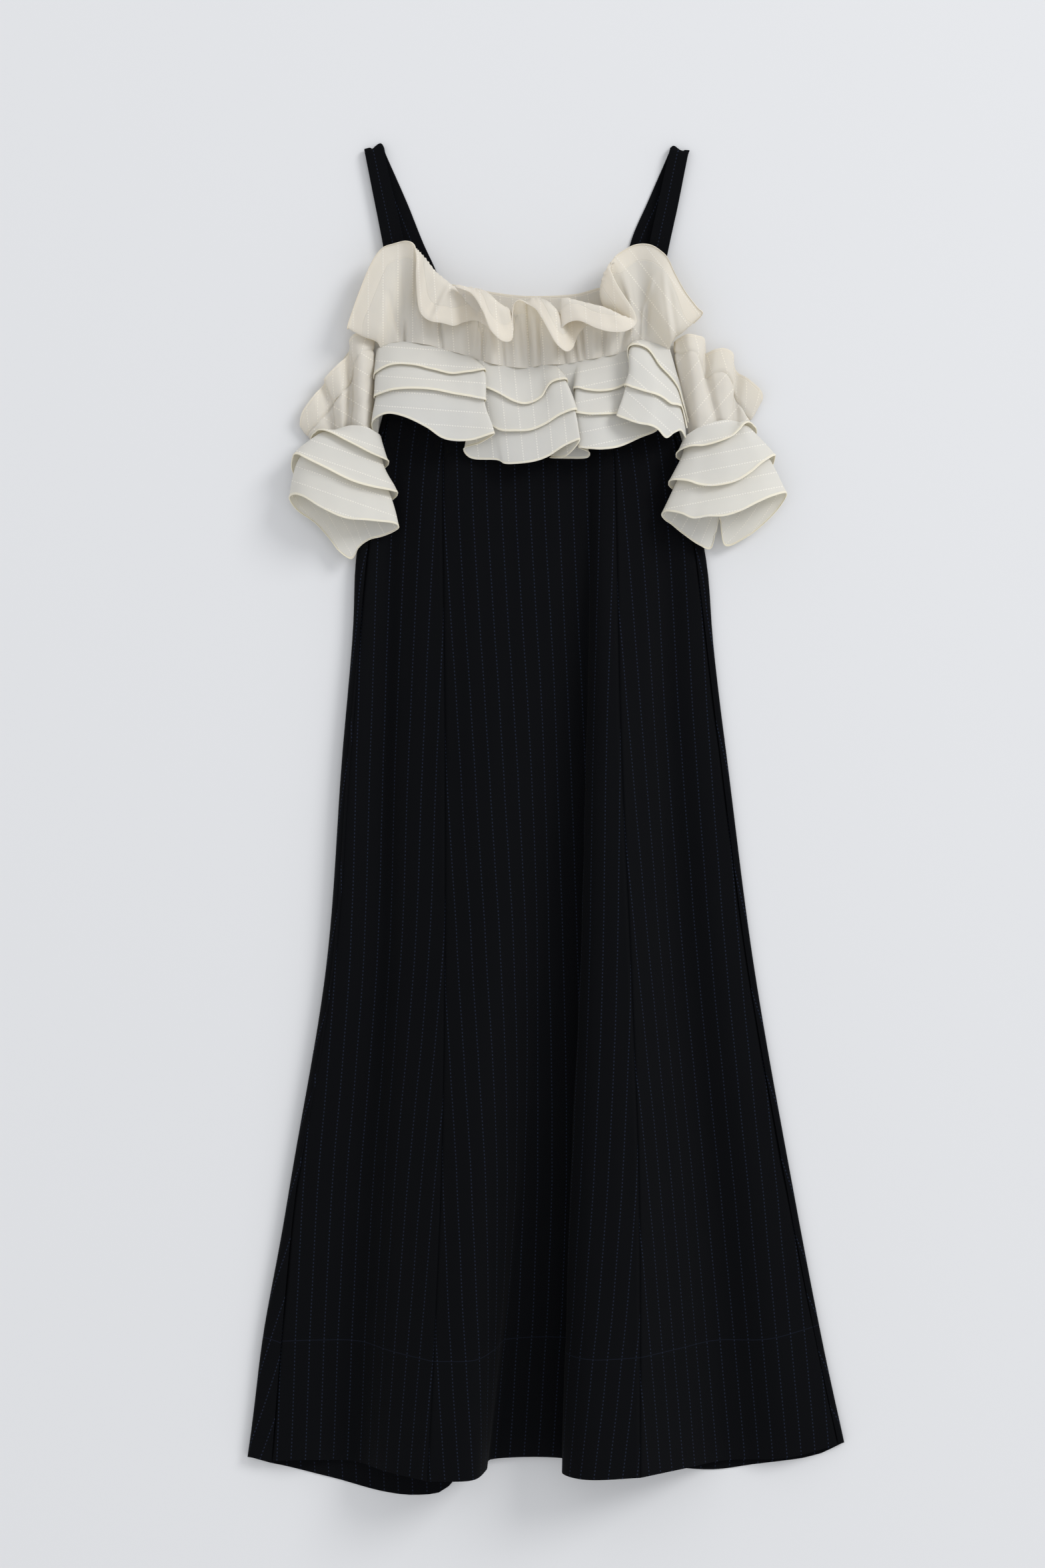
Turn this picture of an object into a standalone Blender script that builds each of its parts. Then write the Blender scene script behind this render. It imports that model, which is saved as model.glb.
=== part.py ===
"""Off-shoulder maxi dress laid flat, face up, on the floor.

Black gored dress on straps, with a cream band round the shoulders: a gathered yoke whose wide frill flops
over at the neck, three layered flounces below it, and gathered sleeves that end in three layered cuffs.

Frame: +Z up out of the floor, +Y towards the straps, +X towards the wearer's left. Tables are in millimetres.
Outlines are read square on from VIEW_HEIGHT above the floor, so a point that stands at height z lies a little
nearer to the middle of the view than its reading; place() brings it in.
"""

import math
from collections import namedtuple

import bpy
from mathutils import Vector

MM = 0.001
VIEW_HEIGHT = 2400.0
VIEW_MIDDLE = (-23.4, 35.1)
FRAME_MIDDLE = (-0.475, 0.335)

BLACK_WALL = 1.5
CREAM_WALL = 1.0
YOKE_GAP = 0.4
PRINCESS_GAP = 0.6
SIDE_GAP = 0.9
SLEEVE_GAP = 0.5
FLOOR_LAYER = BLACK_WALL / 2

# Height of the flounces' own middle layer at the yoke seam, and the step from one tier to the next.
SEAM_HEIGHT = 7.95
TIER_STEP = 1.7
TIER_RISE = (0.0, 0.48, 0.8, 1.0)
CUFF_RISE = (0.0, 0.45, 0.75, 1.0)

# Readings along the length at which each skirt line gives its place and height.
LENGTHS = (448.0, 344.0, 84.0, -143.0, -370.0)

# A line that runs down the skirt: x and z at each of LENGTHS and at the hem, and the hem's own y.
SkirtLine = namedtuple("SkirtLine", "name x z hem_y")

SIDE_LEFT = SkirtLine("side_left", (-136.5, -164.5, -191, -208.5, -245, -268), (6.6, 5.6, 5, 5, 6, 7), -625)
FOLD_LINES_LEFT = (
    SkirtLine("side_fold", (-127, -160, -180, -190, -209, -233), (6.4, 5.6, 8, 10, 12, 13), -624),
    SkirtLine("left_valley", (-117, -150, -158, -163, -177, -188), (6.2, 5.4, 5.5, 5.5, 5.5, 5.5), -625),
    SkirtLine("fold_a_foot", (-107, -136, -141, -142, -146, -157), (6, 7, 15, 22, 32, 42), -635),
)
PRINCESS_LEFT = SkirtLine("princess_left", (-91, -101, -99, -99, -103, -116), (6, 9, 24, 34, 48, 66), -645)
FOLD_LINES_CENTRE = (
    SkirtLine("fold_a_crest", (-58, -50, -50, -55, -64, -73), (6, 10, 27, 38, 52, 66), -644),
    SkirtLine("fold_a_fall", (-20, -3, -13, -25, -40, -59), (6, 8, 19, 26, 32, 38), -634),
    SkirtLine("deep_valley_left", (6, 26, 18, 3, -19, -53), (6, 6.5, 6, 6, 6, 6), -623),
    SkirtLine("deep_valley_right", (19, 40, 40, 37, 30, 25), (6, 6.5, 6, 6, 6, 6), -623),
    SkirtLine("fold_b_edge", (25, 45, 40, 35, 28, 23), (6, 8, 19, 27, 35, 42), -637),
    SkirtLine("fold_b_crest", (34, 52, 50, 48, 44, 40), (6, 10, 31, 42, 54, 66), -643.5),
)
PRINCESS_RIGHT = SkirtLine("princess_right", (55, 66, 72, 82, 90, 91), (6, 11, 32, 42, 54, 65), -641.5)
FOLD_LINES_RIGHT = (
    SkirtLine("right_shoulder", (71, 92, 96, 107, 125, 136), (6, 9, 21, 27, 31, 33), -632),
    SkirtLine("right_valley", (81, 114, 118, 129, 153, 175), (6.2, 5.6, 6, 6, 6, 6), -624),
    SkirtLine("right_bulge", (90, 127, 146, 169, 201, 234), (6.4, 5.6, 8, 10, 12, 13), -622),
)
SIDE_RIGHT = SkirtLine("side_right", (93.5, 132.5, 166.5, 196, 236, 284.5), (6.6, 5.6, 5, 5, 5.5, 6), -609)

# The dress's outline at LENGTHS and at the hem, where the back panel turns round to the side seams.
OUTLINE_LEFT = (-141, -170, -197, -214.5, -252, -291)
OUTLINE_RIGHT = (98, 138, 172.5, 202, 242, 290)
BACK_TOP_HEIGHT = 3.2

# The back hem drops below the front hem on both sides of the middle: x and y along it.
BACK_HEM = (
    (-291, -621), (-273, -626), (-208, -638), (-150, -655), (-110, -657), (-96, -650), (-78, -630), (-52, -620),
    (13, -620), (52, -624), (117, -630), (162, -633), (201, -628), (247, -621), (290, -607),
)

# The yoke seam, along which the front frill meets the flounces: x and y.
YOKE_SEAM = (
    (-166, 459), (-158, 463), (-148, 466.5), (-133, 466), (-117, 464), (-102, 459.5), (-84.5, 455), (-64, 448),
    (-42, 443), (-19.5, 441), (-3, 444), (19.5, 445), (39, 449), (56.5, 452), (71.5, 455.5), (84.5, 461),
    (93, 466), (107, 465), (122, 459),
)

# Small pleats that the gathers press into the yoke: x on the seam.
YOKE_PLEATS = (-138, -101, -63, -41, -17, -5, 20, 31, 38, 55)
PLEAT_RISE = 1.6
PLEAT_WIDTH = 3.2
PLEAT_START = 0.6

# A section across the front frill, from the yoke seam over its cheek and the neck fold (crest) to the free
# edge. The cheek lies these shares of the way from the seam to the crest, across and along the dress.
CHEEK_ACROSS, CHEEK_ALONG = 0.2, 0.5
FrillSection = namedtuple("FrillSection", "seam_x cheek_z crest_x crest_y crest_z edge_x edge_y edge_z")

LEFT_LOBE = (
    FrillSection(-163, 13, -179, 473, 15, -189, 482, 16),
    FrillSection(-161.5, 19, -181, 475, 23, -194, 483, 24),
    FrillSection(-159.5, 24, -180, 488, 28, -188, 499, 27),
    FrillSection(-157, 26, -172, 505, 30, -182, 515, 27),
    FrillSection(-154, 26, -164, 523, 29, -175, 533, 26),
    FrillSection(-151, 25, -157, 534, 28, -167, 549, 25),
    FrillSection(-147.5, 21, -151.5, 536, 25, -159, 558, 24),
    FrillSection(-143.5, 17, -145.5, 536, 22, -149, 561.5, 24),
    FrillSection(-139, 17, -139.5, 537, 23, -140, 564, 26),
    FrillSection(-133, 19, -133, 545, 27, -133, 563, 30),
)
LEFT_FLOP = (
    FrillSection(-127, 19, -126, 556, 32, -127, 551, 38),
    FrillSection(-121, 18, -118, 548, 35, -126, 530, 43),
    FrillSection(-114, 17, -109, 536, 36, -125, 511, 45),
    FrillSection(-108, 16, -102, 529, 35, -121, 496, 45),
    FrillSection(-102, 15, -97, 525, 34, -112, 487.5, 43),
    FrillSection(-96, 15, -93, 521.5, 32, -101, 485, 38),
    FrillSection(-91, 14.5, -90.5, 518, 28, -91, 483.5, 31),
    FrillSection(-86, 13.5, -87, 515, 24, -82, 486, 30),
    FrillSection(-81, 13.5, -83.3, 513, 24, -77, 489, 31),
)
SECOND_WAVE = (
    FrillSection(-76, 14.5, -79.6, 514.5, 28, -74, 497, 35),
    FrillSection(-71, 15.5, -75.7, 517, 34, -71.5, 510, 40),
    FrillSection(-65, 16, -71.5, 519.5, 39, -68, 508, 44),
    FrillSection(-59, 16, -65, 518.5, 42, -63, 497, 48),
    FrillSection(-53, 16, -58, 515.5, 42, -58, 487, 48),
    FrillSection(-47, 15.5, -52, 510, 40, -52, 476, 46.5),
    FrillSection(-42, 15, -47, 505, 37, -46, 469.5, 43),
    FrillSection(-37, 14.5, -41, 501, 33, -38, 467, 37),
    FrillSection(-32, 14, -36, 499, 28, -31, 471, 30),
    FrillSection(-27, 14, -31, 498, 24.5, -25, 479, 28.5),
    FrillSection(-22, 14, -27, 497, 23, -20.5, 485, 29),
)
THIRD_WAVE = (
    FrillSection(-18, 14.5, -23.5, 500, 27.5, -18, 492, 33.5),
    FrillSection(-13, 15.5, -19.5, 504.5, 33.5, -15.5, 499.5, 39.5),
    FrillSection(-8, 16, -14.5, 508.5, 39, -12, 503, 44),
    FrillSection(-3, 16, -7.5, 509, 41, -5.5, 493, 47),
    FrillSection(2, 15.5, 1, 506, 41, 3, 475, 47),
    FrillSection(7, 15, 8.5, 500, 38, 12, 463, 44),
    FrillSection(12, 14.5, 13.5, 496, 33, 20, 459, 38),
    FrillSection(16, 14, 17, 493.5, 28, 26, 464, 31),
    FrillSection(20, 14, 20, 493, 25.5, 29.5, 475, 27),
    FrillSection(24, 14.5, 22.5, 496, 26, 31, 486, 28),
)
FOURTH_WAVE = (
    FrillSection(28, 15, 25, 501, 30, 31.5, 491, 33),
    FrillSection(32, 16, 28, 505, 35, 32.5, 490, 39),
    FrillSection(36, 16, 32, 506, 39, 35, 487.5, 44),
    FrillSection(41, 16, 37, 505, 41, 40, 486, 46),
    FrillSection(46, 16, 44, 503, 41, 48, 480.5, 46),
    FrillSection(53, 16, 57, 500, 41, 61, 477, 45),
    FrillSection(60, 16, 66, 495, 39, 73, 478, 43),
    FrillSection(66, 16, 70, 492, 36, 80, 483, 40),
)
RIGHT_FLOP = (
    FrillSection(70, 16, 69, 496, 33, 82, 492, 38),
    FrillSection(73, 17, 66, 505, 31, 78.5, 504, 37),
    FrillSection(76, 18, 63.5, 518, 31, 72, 519, 37),
    FrillSection(79, 19, 63, 532, 31, 66, 533, 36),
)
RIGHT_LOBE = (
    FrillSection(82, 19, 66.5, 541, 31, 65, 541.5, 34),
    FrillSection(85, 20, 72, 541, 28, 68, 549, 30),
    FrillSection(88, 19, 80, 540, 25, 75, 555, 27),
    FrillSection(92, 18, 88, 540, 23, 84.5, 560, 26),
    FrillSection(97, 19, 96, 540, 24, 94, 561.5, 26),
    FrillSection(102, 22, 104, 538, 27, 103, 560, 26),
    FrillSection(107, 25, 111, 532, 29, 111, 555, 27),
    FrillSection(111, 27, 117, 522, 31, 118, 548, 28),
    FrillSection(114, 27, 124, 510, 31, 125, 533, 28),
    FrillSection(116.5, 26, 131, 500, 30, 135, 515, 27),
    FrillSection(118.5, 24, 137, 490, 29, 147, 499.5, 27),
    FrillSection(120, 19, 138, 481, 24, 151, 493, 25),
    FrillSection(121.5, 14, 135, 475, 17, 144, 485, 18),
)
FRILL_SECTIONS = LEFT_LOBE + LEFT_FLOP + SECOND_WAVE + THIRD_WAVE + FOURTH_WAVE + RIGHT_FLOP + RIGHT_LOBE

# A section down the flounces: where it leaves the yoke seam, each tier's edge, and the lowest edge's height.
FlounceSection = namedtuple("FlounceSection", "seam_x one_x one_y two_x two_y three_x three_y lift")

FLOUNCE_LOBE_1 = (
    FlounceSection(-160, -161, 430, -162, 410.5, -164, 380, 14),
    FlounceSection(-158, -160.5, 433, -161.5, 412.5, -165, 386, 22),
    FlounceSection(-154.5, -157, 438.5, -158, 416, -162.5, 393.5, 29),
    FlounceSection(-147.5, -149.5, 442.5, -149.5, 418.5, -154.5, 397, 33),
    FlounceSection(-133, -130, 442, -130, 420, -136.5, 393, 35),
    FlounceSection(-117, -114, 438, -110.5, 419, -117, 383.5, 35),
    FlounceSection(-102, -95, 433.5, -91, 414.5, -99, 372, 33),
    FlounceSection(-91, -81, 434, -76.5, 411, -81, 368, 33),
    FlounceSection(-83, -71, 432, -68.5, 405, -68, 366, 28),
    FlounceSection(-76, -65.5, 428, -64, 398, -60.5, 359, 21),
    FlounceSection(-69, -61, 424, -58.5, 390, -54.5, 353, 17.5),
)
FLOUNCE_LOBE_2 = (
    FlounceSection(-60, -55.5, 420, -51, 384.5, -48, 350, 17.5),
    FlounceSection(-51, -48, 415.5, -43, 380, -40.5, 348, 21),
    FlounceSection(-36, -32.5, 407.5, -29, 379, -29, 348, 27),
    FlounceSection(-19.5, -18, 405, -15, 380, -13, 350, 32),
    FlounceSection(-8, -4, 412, 0, 386, 1, 355, 33),
    FlounceSection(-1, 4.5, 418, 9, 391, 11, 360, 31),
    FlounceSection(5, 11, 418, 16, 391, 19, 359, 25),
    FlounceSection(10, 16, 413.5, 21.5, 388, 25.5, 355, 18.5),
)
FLOUNCE_LOBE_3 = (
    FlounceSection(17, 21.5, 410, 26.5, 386.5, 31.5, 353.5, 15.5),
    FlounceSection(23.5, 26.5, 410, 31, 387, 36, 354, 17),
    FlounceSection(29.5, 31, 413.5, 35, 390, 40, 357.5, 21),
    FlounceSection(35.5, 36, 416.5, 39, 393, 43.5, 361, 26.5),
    FlounceSection(43, 43, 418, 45.5, 395, 49, 362.5, 30.5),
    FlounceSection(52, 52, 417.5, 55, 395, 59, 362.5, 31),
    FlounceSection(64, 64, 419, 67, 396, 71.5, 364.5, 28),
    FlounceSection(73, 74, 424, 77, 400, 82, 371, 24.5),
)
FLOUNCE_LOBE_4 = (
    FlounceSection(80, 81, 431, 83.5, 406, 88, 379, 24.5),
    FlounceSection(85, 86, 437, 88.5, 412, 92, 385, 29),
    FlounceSection(90, 91, 443, 94, 416, 95.5, 386.5, 34),
    FlounceSection(96, 98, 445, 102, 415, 101, 385, 37),
    FlounceSection(103, 107, 443, 110.5, 411, 109, 381, 35),
    FlounceSection(109, 115.5, 432, 118, 406, 116.5, 376, 31),
    FlounceSection(114, 121, 420, 123, 404, 122.5, 377, 27),
    FlounceSection(117.5, 125, 408, 126.5, 400, 127.5, 378, 23),
    FlounceSection(120, 127, 398, 128.5, 391, 130, 374, 18.5),
)
FLOUNCE_SECTIONS = FLOUNCE_LOBE_1 + FLOUNCE_LOBE_2 + FLOUNCE_LOBE_3 + FLOUNCE_LOBE_4

# A section down a sleeve: the frill's free edge, the neck seam and the cuff seam, each as x, y, z.
SleeveSection = namedtuple("SleeveSection", "edge seam cuff")

SLEEVE_LEFT = (
    SleeveSection((-168.5, 472, 8), (-168.5, 458, 9), (-170.5, 377, 9)),
    SleeveSection((-176.5, 474.5, 12), (-176.5, 457.5, 19), (-177, 383, 20)),
    SleeveSection((-186, 474.5, 12), (-183.5, 453.5, 20), (-183.5, 383.5, 20)),
    SleeveSection((-192, 468.5, 11), (-187.5, 447, 14), (-188.5, 383.5, 14)),
    SleeveSection((-192, 460, 8.5), (-188.5, 436, 9), (-190.5, 382, 9)),
    SleeveSection((-195, 452, 9), (-192, 423, 8.5), (-195, 380, 8.5)),
    SleeveSection((-203.5, 444.5, 16), (-199, 417, 14), (-199, 379, 13)),
    SleeveSection((-216, 431.5, 15), (-206.5, 409, 12), (-205, 377.5, 11)),
    SleeveSection((-216.5, 427, 9), (-208.5, 404, 8), (-206.5, 377, 7.5)),
    SleeveSection((-219, 422.5, 8.5), (-213.5, 396.5, 7.5), (-209.5, 376.5, 7)),
    SleeveSection((-227.5, 413.5, 12), (-221.5, 388.5, 8.5), (-215, 375.5, 8)),
    SleeveSection((-239, 396.5, 10), (-231.5, 378.5, 8), (-221, 373, 8.5)),
    SleeveSection((-239.5, 383, 5), (-232.5, 373.5, 4.2), (-223.5, 369.5, 5.2)),
    SleeveSection((-228.5, 401, 0.5), (-221, 382.5, 0.5), (-216, 368.5, 2.2)),
    SleeveSection((-210, 432, 0.5), (-201.5, 409.5, 0.5), (-199, 370, 2.6)),
    SleeveSection((-188.5, 461.5, 0.5), (-183, 439, 0.5), (-179, 370.5, 6)),
    SleeveSection((-170.5, 471, 2), (-170, 455, 2.5), (-171, 372, 7)),
)
SLEEVE_RIGHT = (
    SleeveSection((125.2, 466.5, 9), (125, 455.5, 9.5), (138.5, 374, 9)),
    SleeveSection((129.5, 470, 12.5), (131, 455, 13.5), (142, 375.5, 13)),
    SleeveSection((138, 474, 18.2), (139, 457.5, 22), (148, 381, 22)),
    SleeveSection((147.5, 472.5, 17), (147, 455, 22), (156, 385.5, 23)),
    SleeveSection((154, 469.5, 14), (151, 444.5, 17), (163, 387.5, 20)),
    SleeveSection((155, 459, 11), (152.5, 436, 12.5), (166, 386, 15)),
    SleeveSection((155.5, 455, 10), (155.5, 430.5, 10.5), (169, 387, 14)),
    SleeveSection((164.5, 459, 16), (163, 435.5, 15.5), (173, 388.5, 17)),
    SleeveSection((174, 460, 16), (174, 436, 15.5), (177.5, 388.5, 16)),
    SleeveSection((182, 455, 12), (181.5, 427, 11), (181.5, 387, 12)),
    SleeveSection((183, 443, 8.5), (182.5, 417, 8), (183, 385.5, 9)),
    SleeveSection((187, 436, 8), (185, 408.5, 7.5), (186, 384.5, 8)),
    SleeveSection((196.5, 430.5, 12), (190, 402.5, 9.5), (190, 384, 8.5)),
    SleeveSection((209.5, 418.5, 10), (195.5, 394.5, 8), (193.5, 383, 9)),
    SleeveSection((209.5, 408, 5), (199.5, 389, 4.4), (196, 379, 5.4)),
    SleeveSection((197, 411, 0.5), (192.5, 392.5, 0.5), (191, 373.5, 2.2)),
    SleeveSection((175.5, 432, 0.5), (175.5, 413, 0.5), (177, 370.5, 3.5)),
    SleeveSection((149.5, 455, 0.5), (149.5, 435.5, 0.5), (157.5, 369, 6)),
    SleeveSection((127, 464.5, 2), (127, 451.5, 2.5), (142.5, 369, 7)),
)
# How far the sleeve's end stays back from the cuff seam, and the most of a short last step that may take.
CUFF_SEAM_BACKOFF, MOST_BACKOFF = 3.4, 0.8

# A section down a cuff's three tiers: the cuff seam, each tier's edge, and the heights at both ends.
CuffSection = namedtuple("CuffSection", "top one two three top_z lift")

CUFF_LEFT = (
    CuffSection((-165, 373), (-158, 346.5), (-147.5, 317), (-143.5, 286), 15, 21),
    CuffSection((-168, 377), (-162.5, 350.5), (-154.5, 320.5), (-150, 290), 18, 28),
    CuffSection((-177, 382.5), (-177, 358), (-175.5, 325.5), (-172.5, 292.5), 20, 36),
    CuffSection((-188, 383), (-192, 366), (-197, 333), (-197, 295), 18, 40),
    CuffSection((-197, 380), (-205, 372), (-216.5, 343), (-219.5, 305), 16, 40),
    CuffSection((-206, 377), (-216, 375.5), (-232, 351), (-236, 315), 14, 36),
    CuffSection((-211.5, 376), (-223.5, 375.5), (-241, 355.5), (-246.5, 318), 12, 29),
    CuffSection((-215.5, 373.5), (-228, 370), (-246.5, 351.5), (-251.5, 314), 10, 20),
    CuffSection((-215.5, 369), (-227.5, 361.5), (-246, 337.5), (-243, 302), 8.5, 12),
    CuffSection((-210, 367.5), (-216.5, 349.5), (-233, 321.5), (-226, 290), 8.5, 12),
    CuffSection((-204, 367), (-206, 342), (-219, 310), (-212, 275), 9, 13),
    CuffSection((-196, 367), (-196, 338), (-206, 303.5), (-202, 262), 10, 14),
    CuffSection((-188.5, 367), (-187, 336), (-193, 301.5), (-190, 255), 11, 14),
    CuffSection((-182, 367), (-179.5, 335), (-182, 301.5), (-183, 266), 11.5, 13.5),
    CuffSection((-175.5, 367.5), (-172.5, 336), (-171, 303), (-173, 273.5), 12, 13),
    CuffSection((-169.5, 369.5), (-165, 339.5), (-160, 307), (-160, 277), 12.5, 13.5),
    CuffSection((-166, 371.5), (-160, 343), (-151.5, 312), (-149, 281.5), 13.3, 16),
)
CUFF_RIGHT = (
    CuffSection((137.5, 372), (130, 353.5), (121, 327), (112, 298.5), 15, 21),
    CuffSection((140.5, 375), (134.5, 358.5), (126, 330.5), (117.5, 301.5), 17.5, 28),
    CuffSection((147.5, 380), (143.5, 362.5), (138.5, 330), (131.5, 299), 19, 35),
    CuffSection((155.5, 384), (154, 363.5), (150, 326.5), (143, 294.5), 20, 38),
    CuffSection((163, 386.5), (163, 365.5), (163, 325.5), (157.5, 296.5), 19, 41),
    CuffSection((171, 388), (172, 368.5), (177, 327.5), (174, 297), 17, 42),
    CuffSection((178, 387.5), (181.5, 373), (189, 332), (190, 302), 14, 40),
    CuffSection((184, 385.5), (188.5, 378.5), (199.5, 339.5), (205, 309.5), 12, 36),
    CuffSection((188.5, 384), (194.5, 383.5), (210.5, 349), (221, 316.5), 11, 29),
    CuffSection((193, 381.5), (201.5, 380), (221, 354), (234.5, 319), 9.5, 17),
    CuffSection((193, 376.5), (203, 372.5), (219, 342.5), (227.5, 305.5), 8.5, 11),
    CuffSection((188.5, 372.5), (197.5, 359.5), (212, 329), (213, 290), 8.5, 9),
    CuffSection((182, 370.5), (188.5, 349.5), (199, 316), (195, 276), 8.5, 9),
    CuffSection((176, 369), (179.5, 342.5), (185, 309), (174, 268), 9, 9),
    CuffSection((170.5, 368.5), (171.5, 340.5), (175.5, 312), (168.5, 294), 10, 12),
    CuffSection((164.5, 368), (163, 340.5), (164.5, 313.5), (161, 266), 11, 12),
    CuffSection((158, 368), (154, 342), (152, 312), (149, 268.5), 12, 14),
    CuffSection((151, 368), (145, 344.5), (139, 314.5), (133, 279.5), 13, 15),
    CuffSection((144, 369), (137.5, 348), (130, 319.5), (122, 288.5), 12.5, 15),
    CuffSection((139, 370.5), (132.5, 350.5), (123.5, 323), (115.5, 293), 13.3, 17),
)

# A crossing of a strap, from its front end over the shoulder fold to its back end: its left and right edge
# and its height.
StrapSection = namedtuple("StrapSection", "left_x left_y right_x right_y z")

STRAP_LEFT = (
    StrapSection(-139.5, 450.5, -120, 454.5, 6.4),
    StrapSection(-159, 558, -139.5, 564.5, 6.0),
    StrapSection(-168.5, 606.5, -149.5, 610.5, 5.6),
    StrapSection(-177, 649.5, -158.5, 653, 5.2),
    StrapSection(-177.6, 652.8, -158.9, 656.8, 4.3),
    StrapSection(-177.6, 653.8, -158.9, 657.8, 3.0),
    StrapSection(-177.3, 652.8, -158.5, 656.8, 1.65),
    StrapSection(-176, 649.5, -157.5, 653, 0.75),
    StrapSection(-155.5, 598, -137, 604.5, 0.75),
    StrapSection(-138, 556, -120, 562, 0.75),
    StrapSection(-126, 529, -108, 536, 2.4),
    StrapSection(-113, 494, -95, 501, 2.6),
    StrapSection(-99.5, 452, -80, 458, 3.2),
)
STRAP_RIGHT = (
    StrapSection(78.5, 454.5, 97.5, 450.5, 6.4),
    StrapSection(100.5, 563, 119.5, 559, 6.0),
    StrapSection(110, 606, 129, 602, 5.6),
    StrapSection(119.5, 648, 138, 644, 5.2),
    StrapSection(120.7, 651.5, 139.2, 647.5, 4.3),
    StrapSection(121, 652.5, 139.5, 648.5, 3.0),
    StrapSection(120.6, 651.5, 139, 647.5, 1.65),
    StrapSection(119.5, 648, 137.5, 644, 0.75),
    StrapSection(104.5, 606, 123, 599, 0.75),
    StrapSection(87, 569, 105.5, 562, 0.75),
    StrapSection(75, 536, 93.5, 529, 2.4),
    StrapSection(60, 497, 79, 491, 2.6),
    StrapSection(44, 458, 63, 452, 3.2),
)
STRAP_SPANS = (4, 2, 2, 1, 1, 1, 1, 2, 2, 2, 2, 2)

# The back of the off-shoulder band: x, and the y of its neck edge and of its lower edge.
BACK_BAND = (
    (-161, 488, 432), (-150, 514, 432), (-130, 523, 432), (-94, 522.5, 432), (-58, 515.5, 432), (-20, 511, 432),
    (26, 512.5, 432), (52, 519, 432), (78, 520, 432), (104, 519, 432), (119, 492, 432),
)
BACK_BAND_LAYER = CREAM_WALL / 2

# How round a curve's turn stays where it doubles back on itself, as a share of a free curve's.
LEAST_ROUNDING = 0.5

# How many steps each surface takes from a section to the next, and down each span between its control points.
FRILL_STEPS, FRILL_SPANS = 2, (2, 2, 3)
FLOUNCE_STEPS, FLOUNCE_SPANS = 2, (2, 1, 2)
SLEEVE_STEPS, SLEEVE_FRILL_SPAN, SLEEVE_SPAN = 2, 2, 3
CUFF_STEPS, CUFF_SPANS = 2, (2, 1, 2)
SKIRT_STEPS, FOLD_SPAN = 15, 2
BACK_FLAT_STEPS, EDGE_TURN = 10, (0, 60, 120, 180)
BAND_STEPS, BAND_SPAN = 1, 2

BLACK_CREPE = ("black_crepe", (0.0040, 0.0042, 0.0065, 1.0), 0.85)
CREAM_VOILE = ("cream_voile", (0.72, 0.68, 0.58, 1.0), 0.8)


def place(x, y, z):
    """The real place, in metres, of a point read at (x, y) from above that stands z above the floor."""
    share = 1.0 - z / VIEW_HEIGHT
    real_x = VIEW_MIDDLE[0] + (x - VIEW_MIDDLE[0]) * share - FRAME_MIDDLE[0]
    real_y = VIEW_MIDDLE[1] + (y - VIEW_MIDDLE[1]) * share - FRAME_MIDDLE[1]
    return Vector((real_x * MM, real_y * MM, z * MM))


def between(values, at, closed=False):
    """The tuple at a fractional index into a list of tuples, on a smooth curve through all of them."""
    count = len(values)
    low = min(int(math.floor(at)), count - 1 if closed else count - 2)
    t = at - low

    def pick(index):
        return values[index % count] if closed else values[max(0, min(count - 1, index))]

    before, start, end, after = (pick(low + step) for step in (-1, 0, 1, 2))
    return tuple(
        0.5 * (2 * b + (c - a) * t + (2 * a - 5 * b + 4 * c - d) * t * t + (3 * b - a - 3 * c + d) * t ** 3)
        for a, b, c, d in zip(before, start, end, after)
    )


def read_curve(points, x):
    """The y at x on a smooth curve through (x, y) points in order of x."""
    if x <= points[0][0]:
        return points[0][1]
    for index in range(len(points) - 1):
        x0, x1 = points[index][0], points[index + 1][0]
        if x <= x1:
            return between([(p[1],) for p in points], index + (x - x0) / (x1 - x0))[0]
    return points[-1][1]


def follow(points, spans):
    """Points along a curve through the given ones, with spans[i] steps from point i to the next.

    A point where the curve doubles back keeps a rounded turn there.
    """
    chords = [max((b - a).length, 1e-9) for a, b in zip(points, points[1:])]
    tangents = [(points[1] - points[0]) / chords[0]]
    for before, point, after in zip(points, points[1:], points[2:]):
        straightness = (after - before).length / ((point - before).length + (after - point).length + 1e-9)
        tangents.append((after - before).normalized() * max(straightness, LEAST_ROUNDING))
    tangents.append((points[-1] - points[-2]) / chords[-1])
    found = [points[0].copy()]
    for index, steps in enumerate(spans):
        a, b, m, n = points[index], points[index + 1], tangents[index], tangents[index + 1]
        length = chords[index]
        for step in range(1, steps + 1):
            t = step / steps
            found.append(a * (2 * t ** 3 - 3 * t ** 2 + 1) + m * length * (t ** 3 - 2 * t ** 2 + t)
                         + b * (3 * t ** 2 - 2 * t ** 3) + n * length * (t ** 3 - t ** 2))
    return found


def surface(sections, steps, spans, closed=False):
    """A grid of points: rows across the sections, and columns down their control points.

    There are as many rows from a section to the next as steps says. No point comes nearer to the floor than
    half the cream wall.
    """
    count = len(sections)
    total = (count if closed else count - 1) * steps
    rows = []
    for step in range(total if closed else total + 1):
        at = step / steps
        controls = [between([section[k] for section in sections], at, closed) for k in range(len(sections[0]))]
        row = follow([Vector(control) for control in controls], spans)
        rows.append([Vector((point.x, point.y, max(point.z, CREAM_WALL / 2))) for point in row])
    return rows


def normals(rows, closed=False):
    """The surface's normal at each point of a grid."""
    count = len(rows)
    found = []
    for i, row in enumerate(rows):
        before = rows[(i - 1) % count] if closed else rows[max(i - 1, 0)]
        after = rows[(i + 1) % count] if closed else rows[min(i + 1, count - 1)]
        line = []
        for j in range(len(row)):
            across = (after[j] - row[j]).normalized() + (row[j] - before[j]).normalized()
            down = row[min(j + 1, len(row) - 1)] - row[max(j - 1, 0)]
            line.append(across.cross(down).normalized())
        found.append(line)
    return found


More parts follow.
